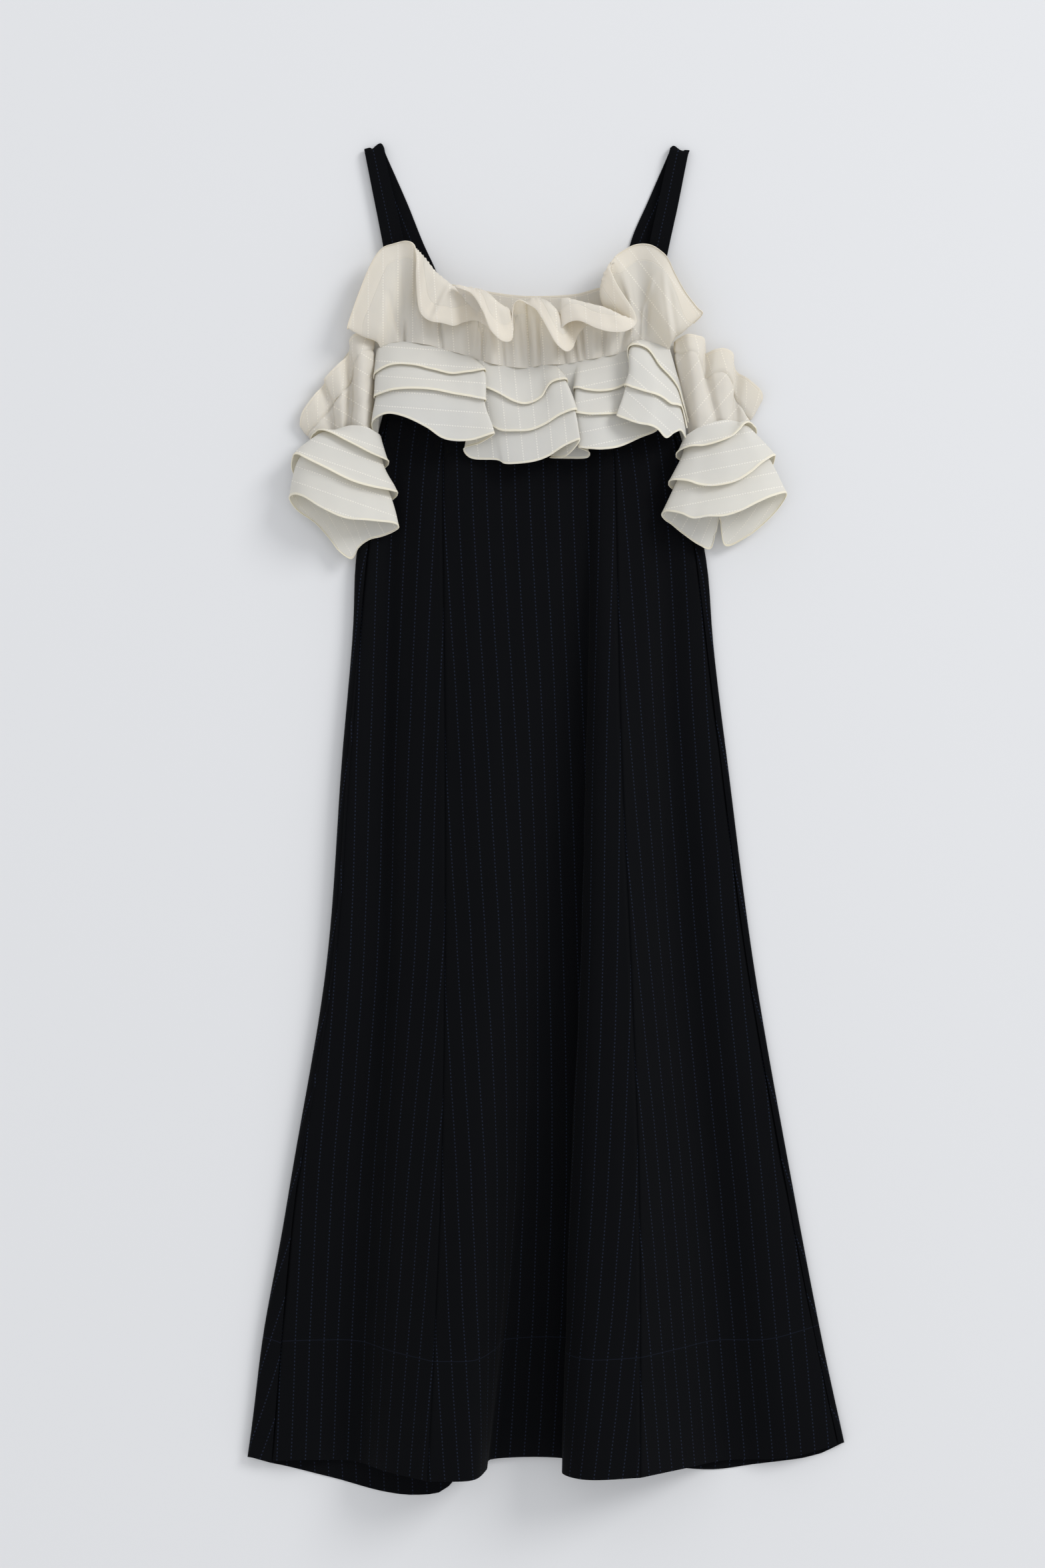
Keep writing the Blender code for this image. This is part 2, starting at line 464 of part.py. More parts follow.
def raised(rows, closed, step, sign):
    """The grid moved out along its normals by step; an open one's seam edge keeps its own y."""
    found = []
    for row, line in zip(rows, normals(rows, closed)):
        moved = []
        for j, (point, normal) in enumerate(zip(row, line)):
            if j == 0 and not closed:
                normal = Vector((normal.x, 0.0, normal.z)).normalized()
            moved.append(point + normal * sign * step)
        found.append(moved)
    return found


def pull_back(rows, edge, inner, gap):
    """Moves a closed grid's edge column back along the cloth by gap, square to the seam it lies on."""
    count = len(rows)
    ways = []
    for i, row in enumerate(rows):
        along = (rows[(i + 1) % count][edge] - rows[i - 1][edge]).normalized()
        way = row[inner] - row[edge]
        ways.append((way - along * way.dot(along)).normalized())
    for row, way in zip(rows, ways):
        row[edge] = row[edge] + way * gap


def make_material(finish):
    """A Principled material of the finish's name, colour and roughness."""
    name, colour, roughness = finish
    material = bpy.data.materials.new(name)
    material.use_nodes = True
    shader = material.node_tree.nodes["Principled BSDF"]
    shader.inputs["Base Color"].default_value = colour
    shader.inputs["Roughness"].default_value = roughness
    shader.inputs["Metallic"].default_value = 0.0
    return material


def cloth(name, rows, wall, finish, collection, closed=False):
    """A sheet of cloth: an open mesh through the grid of readings, given its wall by Solidify."""
    width = len(rows[0])
    points = [place(*point) for row in rows for point in row]
    count = len(rows)
    faces = []
    for i in range(count if closed else count - 1):
        here, there = i * width, (i + 1) % count * width
        for j in range(width - 1):
            faces.append((here + j, there + j, there + j + 1, here + j + 1))
    mesh = bpy.data.meshes.new(name)
    mesh.from_pydata(points, [], faces)
    mesh.materials.append(make_material(finish))
    mesh.shade_smooth()
    obj = bpy.data.objects.new(name, mesh)
    collection.objects.link(obj)
    wall_modifier = obj.modifiers.new("wall", "SOLIDIFY")
    wall_modifier.thickness = wall * MM
    wall_modifier.offset = 0.0
    return obj


def shifted(line, dx):
    """A skirt line moved sideways by dx, for the cloth on one side of a seam."""
    return line._replace(x=tuple(x + dx for x in line.x))


def skirt_panel(name, lines, collection):
    """A front gore between two seams, folded as its lines say."""
    lengths = [(y,) for y in LENGTHS]
    rows = []
    for step in range(SKIRT_STEPS + 1):
        at = step * len(LENGTHS) / SKIRT_STEPS
        section = []
        for line in lines:
            y = between(lengths + [(line.hem_y,)], at)[0]
            x, z = between(list(zip(line.x, line.z)), at)
            section.append(Vector((x, y, z)))
        row = follow(section, [FOLD_SPAN] * (len(lines) - 1))
        lowest = min(point.z for point in section)
        rows.append([Vector((point.x, point.y, max(point.z, lowest))) for point in row])
    cloth(name, rows, BLACK_WALL, BLACK_CREPE, collection)


def back_panel(collection):
    """The whole back, flat on the floor, with its edges turned round and up to the side seams."""
    turn = [math.radians(angle) for angle in EDGE_TURN]
    rows = []
    for step in range(SKIRT_STEPS + 1):
        at = step * len(LENGTHS) / SKIRT_STEPS
        left, right = (between([(x,) for x in side], at)[0] for side in (OUTLINE_LEFT, OUTLINE_RIGHT))
        seam_left = between(list(zip(SIDE_LEFT.x, SIDE_LEFT.z)), at)
        seam_right = between(list(zip(SIDE_RIGHT.x, SIDE_RIGHT.z)), at)
        height = max(between([(BACK_TOP_HEIGHT,)] + [(FLOOR_LAYER,)] * len(LENGTHS), at)[0], FLOOR_LAYER)
        round_left, round_right = (seam_left[1] - height) / 2, (seam_right[1] - height) / 2
        section = [(seam_left[0] - SIDE_GAP, seam_left[1])]
        section += [(left + round_left * (1 - math.sin(angle)), height + round_left * (1 + math.cos(angle)))
                    for angle in turn]
        start, end = left + round_left, right - round_right
        for index in range(1, BACK_FLAT_STEPS):
            section.append((start + (end - start) * index / BACK_FLAT_STEPS, height))
        section += [(right - round_right * (1 - math.sin(angle)), height + round_right * (1 + math.cos(angle)))
                    for angle in reversed(turn)]
        section.append((seam_right[0] + SIDE_GAP, seam_right[1]))
        row = []
        for x, z in section:
            y = between([(length,) for length in LENGTHS] + [(read_curve(BACK_HEM, x),)], at)[0]
            row.append(Vector((x, y, z)))
        rows.append(row)
    cloth("back_panel", rows, BLACK_WALL, BLACK_CREPE, collection)


def front_frill(collection):
    """The gathered yoke, cut in one with the neck frill that flops over it."""
    sections = []
    for fold in FRILL_SECTIONS:
        seam_y = read_curve(YOKE_SEAM, fold.seam_x) + YOKE_GAP + CREAM_WALL
        cheek_x = fold.seam_x + CHEEK_ACROSS * (fold.crest_x - fold.seam_x)
        cheek_y = seam_y + CHEEK_ALONG * (fold.crest_y - seam_y)
        sections.append(((fold.seam_x, seam_y, SEAM_HEIGHT + TIER_STEP), (cheek_x, cheek_y, fold.cheek_z),
                         (fold.crest_x, fold.crest_y, fold.crest_z), (fold.edge_x, fold.edge_y, fold.edge_z)))
    rows = surface(sections, FRILL_STEPS, FRILL_SPANS)
    reach = FRILL_SPANS[0] + 1
    for row in rows:
        for j, point in enumerate(row[:reach]):
            fade = math.sin(math.pi * (j + PLEAT_START) / (reach + PLEAT_START))
            ridges = sum(math.exp(-((point.x - x) / PLEAT_WIDTH) ** 2) for x in YOKE_PLEATS)
            point.z += fade * PLEAT_RISE * ridges
    cloth("front_frill", rows, CREAM_WALL, CREAM_VOILE, collection)


def flounces(collection):
    """The three layered flounces: one folded surface, each tier a step further out and cut shorter."""
    sections = []
    for fold in FLOUNCE_SECTIONS:
        heights = [SEAM_HEIGHT + (fold.lift - SEAM_HEIGHT) * rise for rise in TIER_RISE]
        sections.append(((fold.seam_x, read_curve(YOKE_SEAM, fold.seam_x), heights[0]),
                         (fold.one_x, fold.one_y, heights[1]), (fold.two_x, fold.two_y, heights[2]),
                         (fold.three_x, fold.three_y, heights[3])))
    rows = surface(sections, FLOUNCE_STEPS, FLOUNCE_SPANS)
    for tier in range(3):
        reach = sum(FLOUNCE_SPANS[:tier + 1]) + 1
        layer = 2 - tier
        grid = raised([row[:reach] for row in rows], False, TIER_STEP * layer, -1.0)
        cloth(f"flounce_tier_{tier + 1}", grid, CREAM_WALL, CREAM_VOILE, collection)


def sleeve(side, sections, collection):
    """A sleeve's gathered body and the frill that stands on its neck seam, as closed tubes laid flat."""
    spans = (SLEEVE_FRILL_SPAN, SLEEVE_SPAN)
    rows = surface([tuple(section) for section in sections], SLEEVE_STEPS, spans, True)
    frill = [row[:SLEEVE_FRILL_SPAN + 1] for row in rows]
    body = [row[SLEEVE_FRILL_SPAN:] for row in rows]
    pull_back(frill, -1, -2, SLEEVE_GAP)
    pull_back(body, 0, 1, SLEEVE_GAP)
    for row in body:
        way = row[-2] - row[-1]
        row[-1] = row[-1] + way * min(CUFF_SEAM_BACKOFF / way.length, MOST_BACKOFF)
    cloth(f"sleeve_frill_{side}", frill, CREAM_WALL, CREAM_VOILE, collection, closed=True)
    cloth(f"sleeve_{side}", body, CREAM_WALL, CREAM_VOILE, collection, closed=True)


def cuff(side, sections, sign, collection):
    """The three layered flounces round a sleeve's end."""
    controls = []
    for fold in sections:
        heights = [fold.top_z + (fold.lift - fold.top_z) * rise for rise in CUFF_RISE]
        places = (fold.top, fold.one, fold.two, fold.three)
        controls.append(tuple((x, y, z) for (x, y), z in zip(places, heights)))
    rows = surface(controls, CUFF_STEPS, CUFF_SPANS, True)
    for tier in range(3):
        reach = sum(CUFF_SPANS[:tier + 1]) + 1
        layer = 2 - tier
        grid = raised([row[:reach] for row in rows], True, TIER_STEP * layer, sign)
        cloth(f"cuff_{side}_tier_{tier + 1}", grid, CREAM_WALL, CREAM_VOILE, collection, closed=True)


def strap(side, sections, collection):
    """A flat band folded over at the shoulder."""
    left = follow([Vector((s.left_x, s.left_y, s.z)) for s in sections], STRAP_SPANS)
    right = follow([Vector((s.right_x, s.right_y, s.z)) for s in sections], STRAP_SPANS)
    for point in left + right:
        point.z = max(point.z, FLOOR_LAYER)
    rows = [[a, (a + b) / 2, b] for a, b in zip(left, right)]
    cloth(f"strap_{side}", rows, BLACK_WALL, BLACK_CREPE, collection)


def back_band(collection):
    """The back of the off-shoulder band, flat on the floor under the rest."""
    controls = [((x, top, BACK_BAND_LAYER), (x, bottom, BACK_BAND_LAYER)) for x, top, bottom in BACK_BAND]
    cloth("back_band", surface(controls, BAND_STEPS, (BAND_SPAN,)), CREAM_WALL, CREAM_VOILE, collection)


def main():
    """Clears the scene and makes each piece of the dress."""
    for obj in list(bpy.data.objects):
        bpy.data.objects.remove(obj, do_unlink=True)
    dress = bpy.data.collections.new("off_shoulder_dress")
    bpy.context.scene.collection.children.link(dress)
    half_gap = PRINCESS_GAP / 2
    side_left = (SIDE_LEFT,) + FOLD_LINES_LEFT + (shifted(PRINCESS_LEFT, -half_gap),)
    centre = (shifted(PRINCESS_LEFT, half_gap),) + FOLD_LINES_CENTRE + (shifted(PRINCESS_RIGHT, -half_gap),)
    side_right = (shifted(PRINCESS_RIGHT, half_gap),) + FOLD_LINES_RIGHT + (SIDE_RIGHT,)
    skirt_panel("front_side_left", side_left, dress)
    skirt_panel("front_centre", centre, dress)
    skirt_panel("front_side_right", side_right, dress)
    back_panel(dress)
    strap("left", STRAP_LEFT, dress)
    strap("right", STRAP_RIGHT, dress)
    back_band(dress)
    front_frill(dress)
    flounces(dress)
    sleeve("left", SLEEVE_LEFT, dress)
    sleeve("right", SLEEVE_RIGHT, dress)
    cuff("left", CUFF_LEFT, 1.0, dress)
    cuff("right", CUFF_RIGHT, -1.0, dress)


main()
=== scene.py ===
"""Looks of an off-shoulder maxi dress that lies flat, face up, on a pale floor.

Black crepe gores on straps, and a band of cream voile round the shoulders: a gathered yoke whose wide frill flops
over at the neck, three layered flounces, and gathered sleeves that end in three layered cuffs. Every sheet of
cloth is a grid of points on smooth curves through listed sections, and Solidify gives it its thin wall.

Sizes are in millimetres and angles in degrees. Outlines are read square on from VIEW_HEIGHT above the floor, so a
point that stands above the floor lies a little nearer to the middle of the view than its reading, and place()
brings it in. A table's rows go from left to right, as seen, unless its comment says otherwise.
"""
import logging
import math
from dataclasses import dataclass, field, replace
from enum import Enum
from typing import NamedTuple

import bpy
from bpy.types import Material, Node, NodeSocket, NodeTree, Object
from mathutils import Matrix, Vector, noise


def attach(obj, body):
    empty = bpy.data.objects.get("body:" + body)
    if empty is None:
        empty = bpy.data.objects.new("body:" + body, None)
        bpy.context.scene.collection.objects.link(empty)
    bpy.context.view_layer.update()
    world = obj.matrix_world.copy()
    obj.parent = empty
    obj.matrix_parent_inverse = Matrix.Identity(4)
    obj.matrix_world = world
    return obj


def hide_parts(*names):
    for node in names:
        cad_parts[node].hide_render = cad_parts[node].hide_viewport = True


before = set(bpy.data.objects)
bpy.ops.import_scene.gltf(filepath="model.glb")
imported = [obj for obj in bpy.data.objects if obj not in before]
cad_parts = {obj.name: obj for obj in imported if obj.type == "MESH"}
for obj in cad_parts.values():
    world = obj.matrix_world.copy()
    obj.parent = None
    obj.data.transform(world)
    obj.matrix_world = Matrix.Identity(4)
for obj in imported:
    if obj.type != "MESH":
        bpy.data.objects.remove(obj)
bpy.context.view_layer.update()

LOG = logging.getLogger("dress")

Rows = tuple[tuple[float, ...], ...]

MM = 0.001
TINY = 1e-9

# The view that was read: the camera's height, the picture's middle on the floor, its height in pixels and a pixel's
# size there. FRAME_MIDDLE is where the part's origin lies in the readings.
VIEW_HEIGHT = 2400.0
VIEW_MIDDLE = (-23.4, 35.1)
PHOTO_HEIGHT = 2352
MM_PER_PIXEL = 0.65
FRAME_MIDDLE = (-0.475, 0.335)

# The walls, thicker than the real cloth's 0.5 and 0.15, and the crepe's gap above the floor.
CREPE_WALL = 0.9
VOILE_WALL = 0.4
FLOOR_GAP = 0.05

# A section's curve: its steps from one reading to the next, and the least share of a tangent where it doubles back.
CURVE_STEPS = 14
LEAST_ROUNDING = 0.5

# Hems: the widths of the skirt's, of the frill's facing and of a rolled one, their columns of points, the most of a
# row that they take, and the radius and angles through which a rolled hem turns under.
SKIRT_HEM = 118.0
FRILL_FACING = 18.0
ROLLED_HEM = 3.0
HEM_COLUMNS = 4
MOST_HEM_SHARE = 0.4
HEM_RADIUS = 0.5
HEM_ANGLES = (60, 120, 180)

# Layers: the yoke seam's height, how far each tier lies above the next one down and the yoke above tier 1, and how
# much further the free edges of tiers 1 to 3 stand off. Cloth that faces sideways takes at least SIDE_FLARE of that.
TIERS = 3
SEAM_HEIGHT = 7.95
TIER_STEP = 1.7
YOKE_GAP = 0.7
TIER_FLARE = (2.8, 2.6, 0.0)
CUFF_FLARE = (6.0, 5.0, 0.0)
SIDE_FLARE = 0.1
# The share of a fold's whole rise that it has at the seam and at each tier's edge.
TIER_RISE = (0.0, 0.48, 0.8, 1.0)
CUFF_RISE = (0.0, 0.45, 0.75, 1.0)
# How far a cuff is drawn in under each tier that covers it, as a share of the way to its middle.
CUFF_TUCK = 0.1

# The frill's readings above FRILL_BASE stand a little too high, so they are brought down to this share.
FRILL_BASE = 15.0
FRILL_RISE = 0.82

# Where a gore's grid is finer beside its seams: distances from the seam.
SEAM_MARKS = (0.0, 0.6, 1.2, 1.9, 2.8, 4.0)

# A crease: the share of its length by which it fades out past each end, the power of that fade, how many widths it
# reaches to the side, and the least that cloth must face up to take it.
CREASE_RUN_OUT = 0.1
CREASE_FADE = 0.6
CREASE_REACH = 3.0
CREASE_LEAST_UP = 0.1
# A ripple is full this many columns from the sewn edge.
RIPPLE_FADE = 4
SMOOTH_ANGLE = 55.0

# Finishes. A woven row fades out between shares of its width, and a float starts between shares of half the gap
# before it. A hem's fold line blurs to each side. Its stitches lie inside that line and fade out between two
# distances from their own. On the crepe their line is also tinted by a share toward the float colour, a painted
# highlight for the light that catches the stitched hem.
ROW_FADE = (0.35, 0.65)
FLOAT_START = (0.8, 1.2)
FOLD_BLUR = 0.2
STITCH_LINE = 0.6
STITCH_FADE = (0.25, 0.6)
STITCH_HIGHLIGHT = 0.35
MOTTLE_DETAIL = 3.0
GRAIN_DETAIL = 2.0


class Hold(Enum):
    """How a sheet of cloth is held where it lies."""

    LAID = "laid"
    GATHERED = "gathered"
    FOLDED = "folded"


class CutPiece(NamedTuple):
    """A piece's cut: how it is held, its width and length, and its area in square centimetres."""

    held: Hold
    width: float
    length: float
    area: float


class SkirtLine(NamedTuple):
    """A line down the skirt: its place and height at each of LENGTHS and at the hem, and where the hem is."""

    x: tuple[float, ...]
    z: tuple[float, ...]
    hem_y: float


# The neck frill's folds from the left sleeve round to the right one, each from the yoke seam over a cheek and a
# crest to the free edge: seam x, cheek z, crest x, y, z, edge x, y, z.
FRILL_FOLDS = (
    # Left lobe, standing open
    (-160, 13, -178, 474, 17, -188, 482, 19),
    (-162, 20, -181, 473, 25, -194, 480, 26),
    (-160, 25, -180, 487, 29, -188, 499, 27),
    (-157, 27, -172, 505, 30, -182, 515, 26),
    (-154, 27, -164, 523, 29, -175, 533, 25),
    (-151, 26, -157, 534, 28, -167, 549, 24),
    (-148, 24, -151, 536, 27, -159, 558, 24),
    (-144, 20, -145, 536, 25, -149, 561.5, 25),
    (-139, 18, -140, 538, 23, -140, 564, 27),
    (-134, 18, -134, 542, 25, -134.5, 564, 30),
    (-131, 18, -130.5, 549, 28, -130, 562, 32),
    # First flop over the crest
    (-128.5, 18, -127.5, 557.5, 31, -127.5, 557.5, 34),
    (-126, 18, -123.5, 554.5, 32, -126.5, 544, 36),
    (-121, 17, -118, 548, 32, -127, 530, 36),
    (-114, 16, -109, 536, 32, -126, 511, 37),
    (-108, 16, -101, 529, 32, -123, 496, 38),
    (-102, 15, -97, 525, 31, -114, 487.5, 37),
    (-96, 15, -93, 522, 30, -101, 485, 34),
    (-91, 14, -90.5, 521, 29, -90, 482.5, 31),
    (-86, 13, -85, 519.5, 26, -80, 486, 24),
    (-80, 13, -78, 517.5, 24, -69, 487.5, 20),
    (-75, 13, -70, 514, 24, -59, 482, 19),
    (-72, 13, -63, 508, 26, -54, 477, 21),
    # Wave beside the first hollow
    (-69, 14, -62, 510, 29, -57, 490, 27),
    (-66, 14, -68, 513.5, 32, -65.5, 504.5, 33),
    (-63.5, 15, -77, 517, 34, -72.5, 511.5, 36),
    (-61.5, 15, -85, 520, 35, -82, 517.5, 38),
    (-60, 15, -90, 521.5, 37, -89, 520, 40),
    (-58.5, 15, -85, 521.5, 39, -83.5, 518.5, 43.5),
    (-57, 15, -74, 520, 41, -72.5, 513, 46),
    (-53, 15, -62, 517, 42, -62, 496, 48),
    (-48, 14, -55, 513, 41, -55, 479, 47),
    (-43, 14, -48, 506, 38, -45, 469, 44),
    (-38, 13, -41, 501, 34, -37, 467, 38),
    (-35, 13, -38, 500, 33, -33, 470.5, 34),
    (-32, 13, -35.5, 497, 30, -33, 480, 33),
    (-29, 13, -33, 493, 27, -33.5, 493, 34),
    (-26, 13, -29.5, 490, 24, -32, 503, 36),
    (-23, 13, -25, 489, 23, -27, 507, 39),
    # Middle wave
    (-19, 14, -22, 498, 30, -22, 506, 41),
    (-15, 15, -17, 508.5, 38, -16, 502.5, 44),
    (-11, 15, -10, 510.5, 41, -10, 498, 46),
    (-6, 15, -4, 508.5, 42, -4, 489, 47.5),
    (-1, 15, 2, 505.5, 42, 2, 478, 47),
    (4, 14, 8, 500, 40, 8.5, 466.5, 45),
    (8, 14, 11, 496.5, 36, 15, 460, 42),
    (11, 13, 12.5, 495, 33, 20.5, 457.5, 38),
    (15, 13, 14, 493, 28, 26, 461.5, 30),
    (20, 13, 17, 490, 24, 31, 474, 24),
    (25, 13, 25, 492, 21, 40, 486, 21),
    (29, 14, 22, 500, 27, 29, 492, 29),
    # Last wave and the flop that rises to the right lobe
    (32, 15, 14.5, 507, 35, 14.5, 480.5, 38),
    (35, 15, 20, 509, 40, 22, 486, 44),
    (40, 15, 31, 506, 41, 33, 487, 46),
    (46, 15, 44, 503, 41, 48, 480.5, 46),
    (53, 15, 57, 500, 41, 61, 477, 45),
    (60, 15, 70, 494, 39, 76, 477, 43),
    (66, 15, 81, 490, 34, 86, 483, 38),
    (70, 15, 72, 492, 28, 86, 492, 36),
    (73, 16, 56, 503, 27, 80, 504, 37),
    (76, 17, 52, 517, 29, 70, 519, 38),
    (79, 18, 56, 534, 31, 63, 533, 37),
    # Right lobe, standing open
    (82, 19, 63, 544, 31, 62, 540, 34),
    (85, 20, 72, 541, 28, 67, 549, 30),
    (88, 18, 80, 540, 24, 75, 555, 27),
    (92, 16, 88, 540, 21, 84.5, 560, 25),
    (97, 17, 96, 540, 22, 94, 561.5, 25),
    (102, 22, 104, 538, 26, 103, 560, 26),
    (107, 26, 111, 532, 29, 111, 555, 27),
    (111, 28, 117, 522, 31, 118, 548, 28),
    (114, 28, 124, 510, 31, 125, 533, 28),
    (117, 27, 131, 500, 30, 135, 515, 27),
    (119, 25, 138, 490, 29, 147, 499.5, 27),
    (120, 20, 137, 481, 25, 152, 494, 26),
    (120, 14, 131, 474, 18, 143, 484, 20),
)

# The flounces' folds: seam x, the edge of each tier as x, y, and the height of the lowest edge.
FLOUNCE_FOLDS = (
    # Left lobe
    (-158, (-161, 431.5), (-162.5, 409.5), (-164.5, 372), 10),
    (-162, (-165, 430), (-166.5, 411.5), (-171, 383), 17),
    (-159, (-162.5, 436), (-164, 414), (-168, 391), 25),
    (-148, (-149.5, 442.5), (-149.5, 418.5), (-154.5, 397), 32),
    (-133, (-130, 442), (-130, 420), (-136.5, 393), 36),
    (-117, (-114, 438), (-110.5, 419), (-117, 383.5), 36),
    (-102, (-94, 433.5), (-88, 414.5), (-99, 372), 34),
    (-91, (-78, 435), (-71.5, 412), (-75, 370.5), 34),
    (-83, (-62.5, 437), (-60.5, 409), (-50.5, 377.5), 34),
    (-78, (-67.5, 431.5), (-67.5, 404), (-64, 368), 24.5),
    (-74, (-70, 427.5), (-73, 399), (-80, 362.5), 17),
    (-69, (-65, 424), (-67.5, 394), (-73, 353), 15.5),
    # Middle lobe
    (-60, (-60, 422), (-54, 386), (-49, 351.5), 21.5),
    (-51, (-49, 416.5), (-44, 380), (-41, 348), 25.5),
    (-36, (-32.5, 407.5), (-29, 379), (-29, 348), 28.5),
    (-19.5, (-18, 405), (-15, 380), (-13, 350), 31),
    (-8, (-3, 412), (0, 386), (1.5, 355), 33),
    (-1, (6.5, 425), (14.5, 395), (18, 365.5), 35),
    (4, (17.5, 427.5), (27.5, 399.5), (33, 371), 36),
    (8, (14.5, 419), (19.5, 391.5), (19.5, 355), 27),
    (12, (10.5, 411), (11.5, 387.5), (4, 353.5), 16),
    (17, (21, 409), (22, 386), (21, 353), 13),
    # Right middle lobe
    (23, (30, 409), (34, 386), (39, 353.5), 13.5),
    (28, (31.5, 413.5), (34, 391), (41, 359), 20),
    (34, (30, 420), (28.5, 396.5), (30.5, 363.5), 30),
    (39, (39, 418), (42, 395), (42, 362.5), 34),
    (52, (52, 417), (55, 395), (55, 362), 33),
    (65, (65, 419), (68, 396), (71.5, 364.5), 28),
    (74, (76.5, 424), (81, 398), (91, 373), 22),
    (81, (86, 430), (93, 403), (108, 381), 16),
    # Right lobe
    (85, (84, 435), (88, 410), (96, 390), 26),
    (87, (84.5, 443), (78, 422.5), (69, 395), 36),
    (89, (82.5, 457), (84.5, 421), (78, 391), 40),
    (92, (87, 461), (94, 418), (90, 387), 41),
    (97, (97, 457), (104, 415), (101, 385), 40),
    (103, (107, 443), (112, 411), (109, 381), 36),
    (109, (117, 432), (120, 405.5), (117, 373), 32),
    (114, (125, 420), (127, 404), (125, 378), 28),
    (118, (130.5, 404), (131, 400), (131.5, 380), 24),
    (120, (135, 387), (135.5, 382), (136, 373), 20),
)

# The yoke seam, along which the frill meets the flounces: x and y.
YOKE_SEAM = ((-166, 459), (-158, 463), (-148, 466.5), (-133, 466), (-117, 464), (-102, 459.5), (-84.5, 455),
             (-64, 448), (-42, 443), (-19.5, 441), (-3, 444), (19.5, 445), (39, 449), (56.5, 452), (71.5, 455.5),
             (84.5, 461), (93, 466), (107, 465), (122, 459))

# Round a sleeve: the frill's free edge, the neck seam and the cuff seam, each as x, y, z.
SLEEVE_LEFT = (
    ((-168.5, 472, 8), (-168.5, 458, 9), (-170.5, 377, 9)),
    ((-176.5, 474.5, 12), (-176.5, 457.5, 19), (-177, 383, 20)),
    ((-186, 474.5, 12), (-183.5, 453.5, 20), (-183.5, 383.5, 20)),
    ((-192, 468.5, 11), (-187.5, 447, 14), (-188.5, 383.5, 14)),
    ((-192, 460, 8.5), (-188.5, 436, 9), (-190.5, 382, 9)),
    ((-195, 452, 9), (-192, 423, 8.5), (-195, 380, 9.5)),
    ((-203.5, 444.5, 17), (-199, 417, 16.5), (-199, 379, 15)),
    ((-216, 431.5, 15), (-206.5, 409, 12), (-205, 377.5, 11)),
    ((-216.5, 427, 8.5), (-208.5, 404, 7), (-206.5, 377, 7)),
    ((-219, 422.5, 8.5), (-213.5, 396.5, 7.5), (-209.5, 376.5, 7)),
    ((-227.5, 413.5, 13), (-221.5, 388.5, 11), (-215, 375.5, 9.5)),
    ((-239, 396.5, 10), (-231.5, 378.5, 8), (-221, 373, 8.5)),
    ((-239.5, 383, 5), (-232.5, 373.5, 4.2), (-223.5, 369.5, 5.2)),
    ((-228.5, 401, 0.5), (-221, 382.5, 0.5), (-216, 368.5, 2.2)),
    ((-210, 432, 0.5), (-201.5, 409.5, 0.5), (-199, 370, 2.6)),
    ((-188.5, 461.5, 0.5), (-183, 439, 0.5), (-179, 370.5, 6)),
    ((-170.5, 471, 2), (-170, 455, 2.5), (-171, 372, 7)),
)
SLEEVE_RIGHT = (
    ((125.2, 466.5, 9), (125, 455.5, 9.5), (138.5, 374, 9)),
    ((129.5, 470, 12.5), (131, 455, 13.5), (142, 375.5, 13)),
    ((138, 474, 18.2), (139, 457.5, 22), (148, 381, 22)),
    ((147.5, 472.5, 17), (147, 455, 22), (156, 385.5, 23)),
    ((154, 469.5, 14), (151, 444.5, 17), (163, 387.5, 20)),
    ((155, 459, 11), (152.5, 436, 12.5), (166, 386, 15)),
    ((155.5, 455, 10), (155.5, 430.5, 11), (169, 387, 15.5)),
    ((164.5, 459, 16), (163, 435.5, 15.5), (173, 388.5, 17)),
    ((174, 460, 16), (174, 436, 15.5), (177.5, 388.5, 16)),
    ((182, 455, 12), (181.5, 427, 11), (181.5, 387, 12)),
    ((183, 443, 8.5), (182.5, 417, 8), (183, 385.5, 9)),
    ((187, 436, 8), (185, 408.5, 7.5), (186, 384.5, 8)),
    ((196.5, 430.5, 12), (190, 402.5, 9.5), (190, 384, 8.5)),
    ((209.5, 418.5, 10), (195.5, 394.5, 8), (193.5, 383, 9)),
    ((209.5, 408, 5), (199.5, 389, 4.4), (196, 379, 5.4)),
    ((197, 411, 0.5), (192.5, 392.5, 0.5), (191, 373.5, 2.2)),
    ((175.5, 432, 0.5), (175.5, 413, 0.5), (177, 370.5, 3.5)),
    ((149.5, 455, 0.5), (149.5, 435.5, 0.5), (157.5, 369, 6)),
    ((127, 464.5, 2), (127, 451.5, 2.5), (142.5, 369, 7)),
)

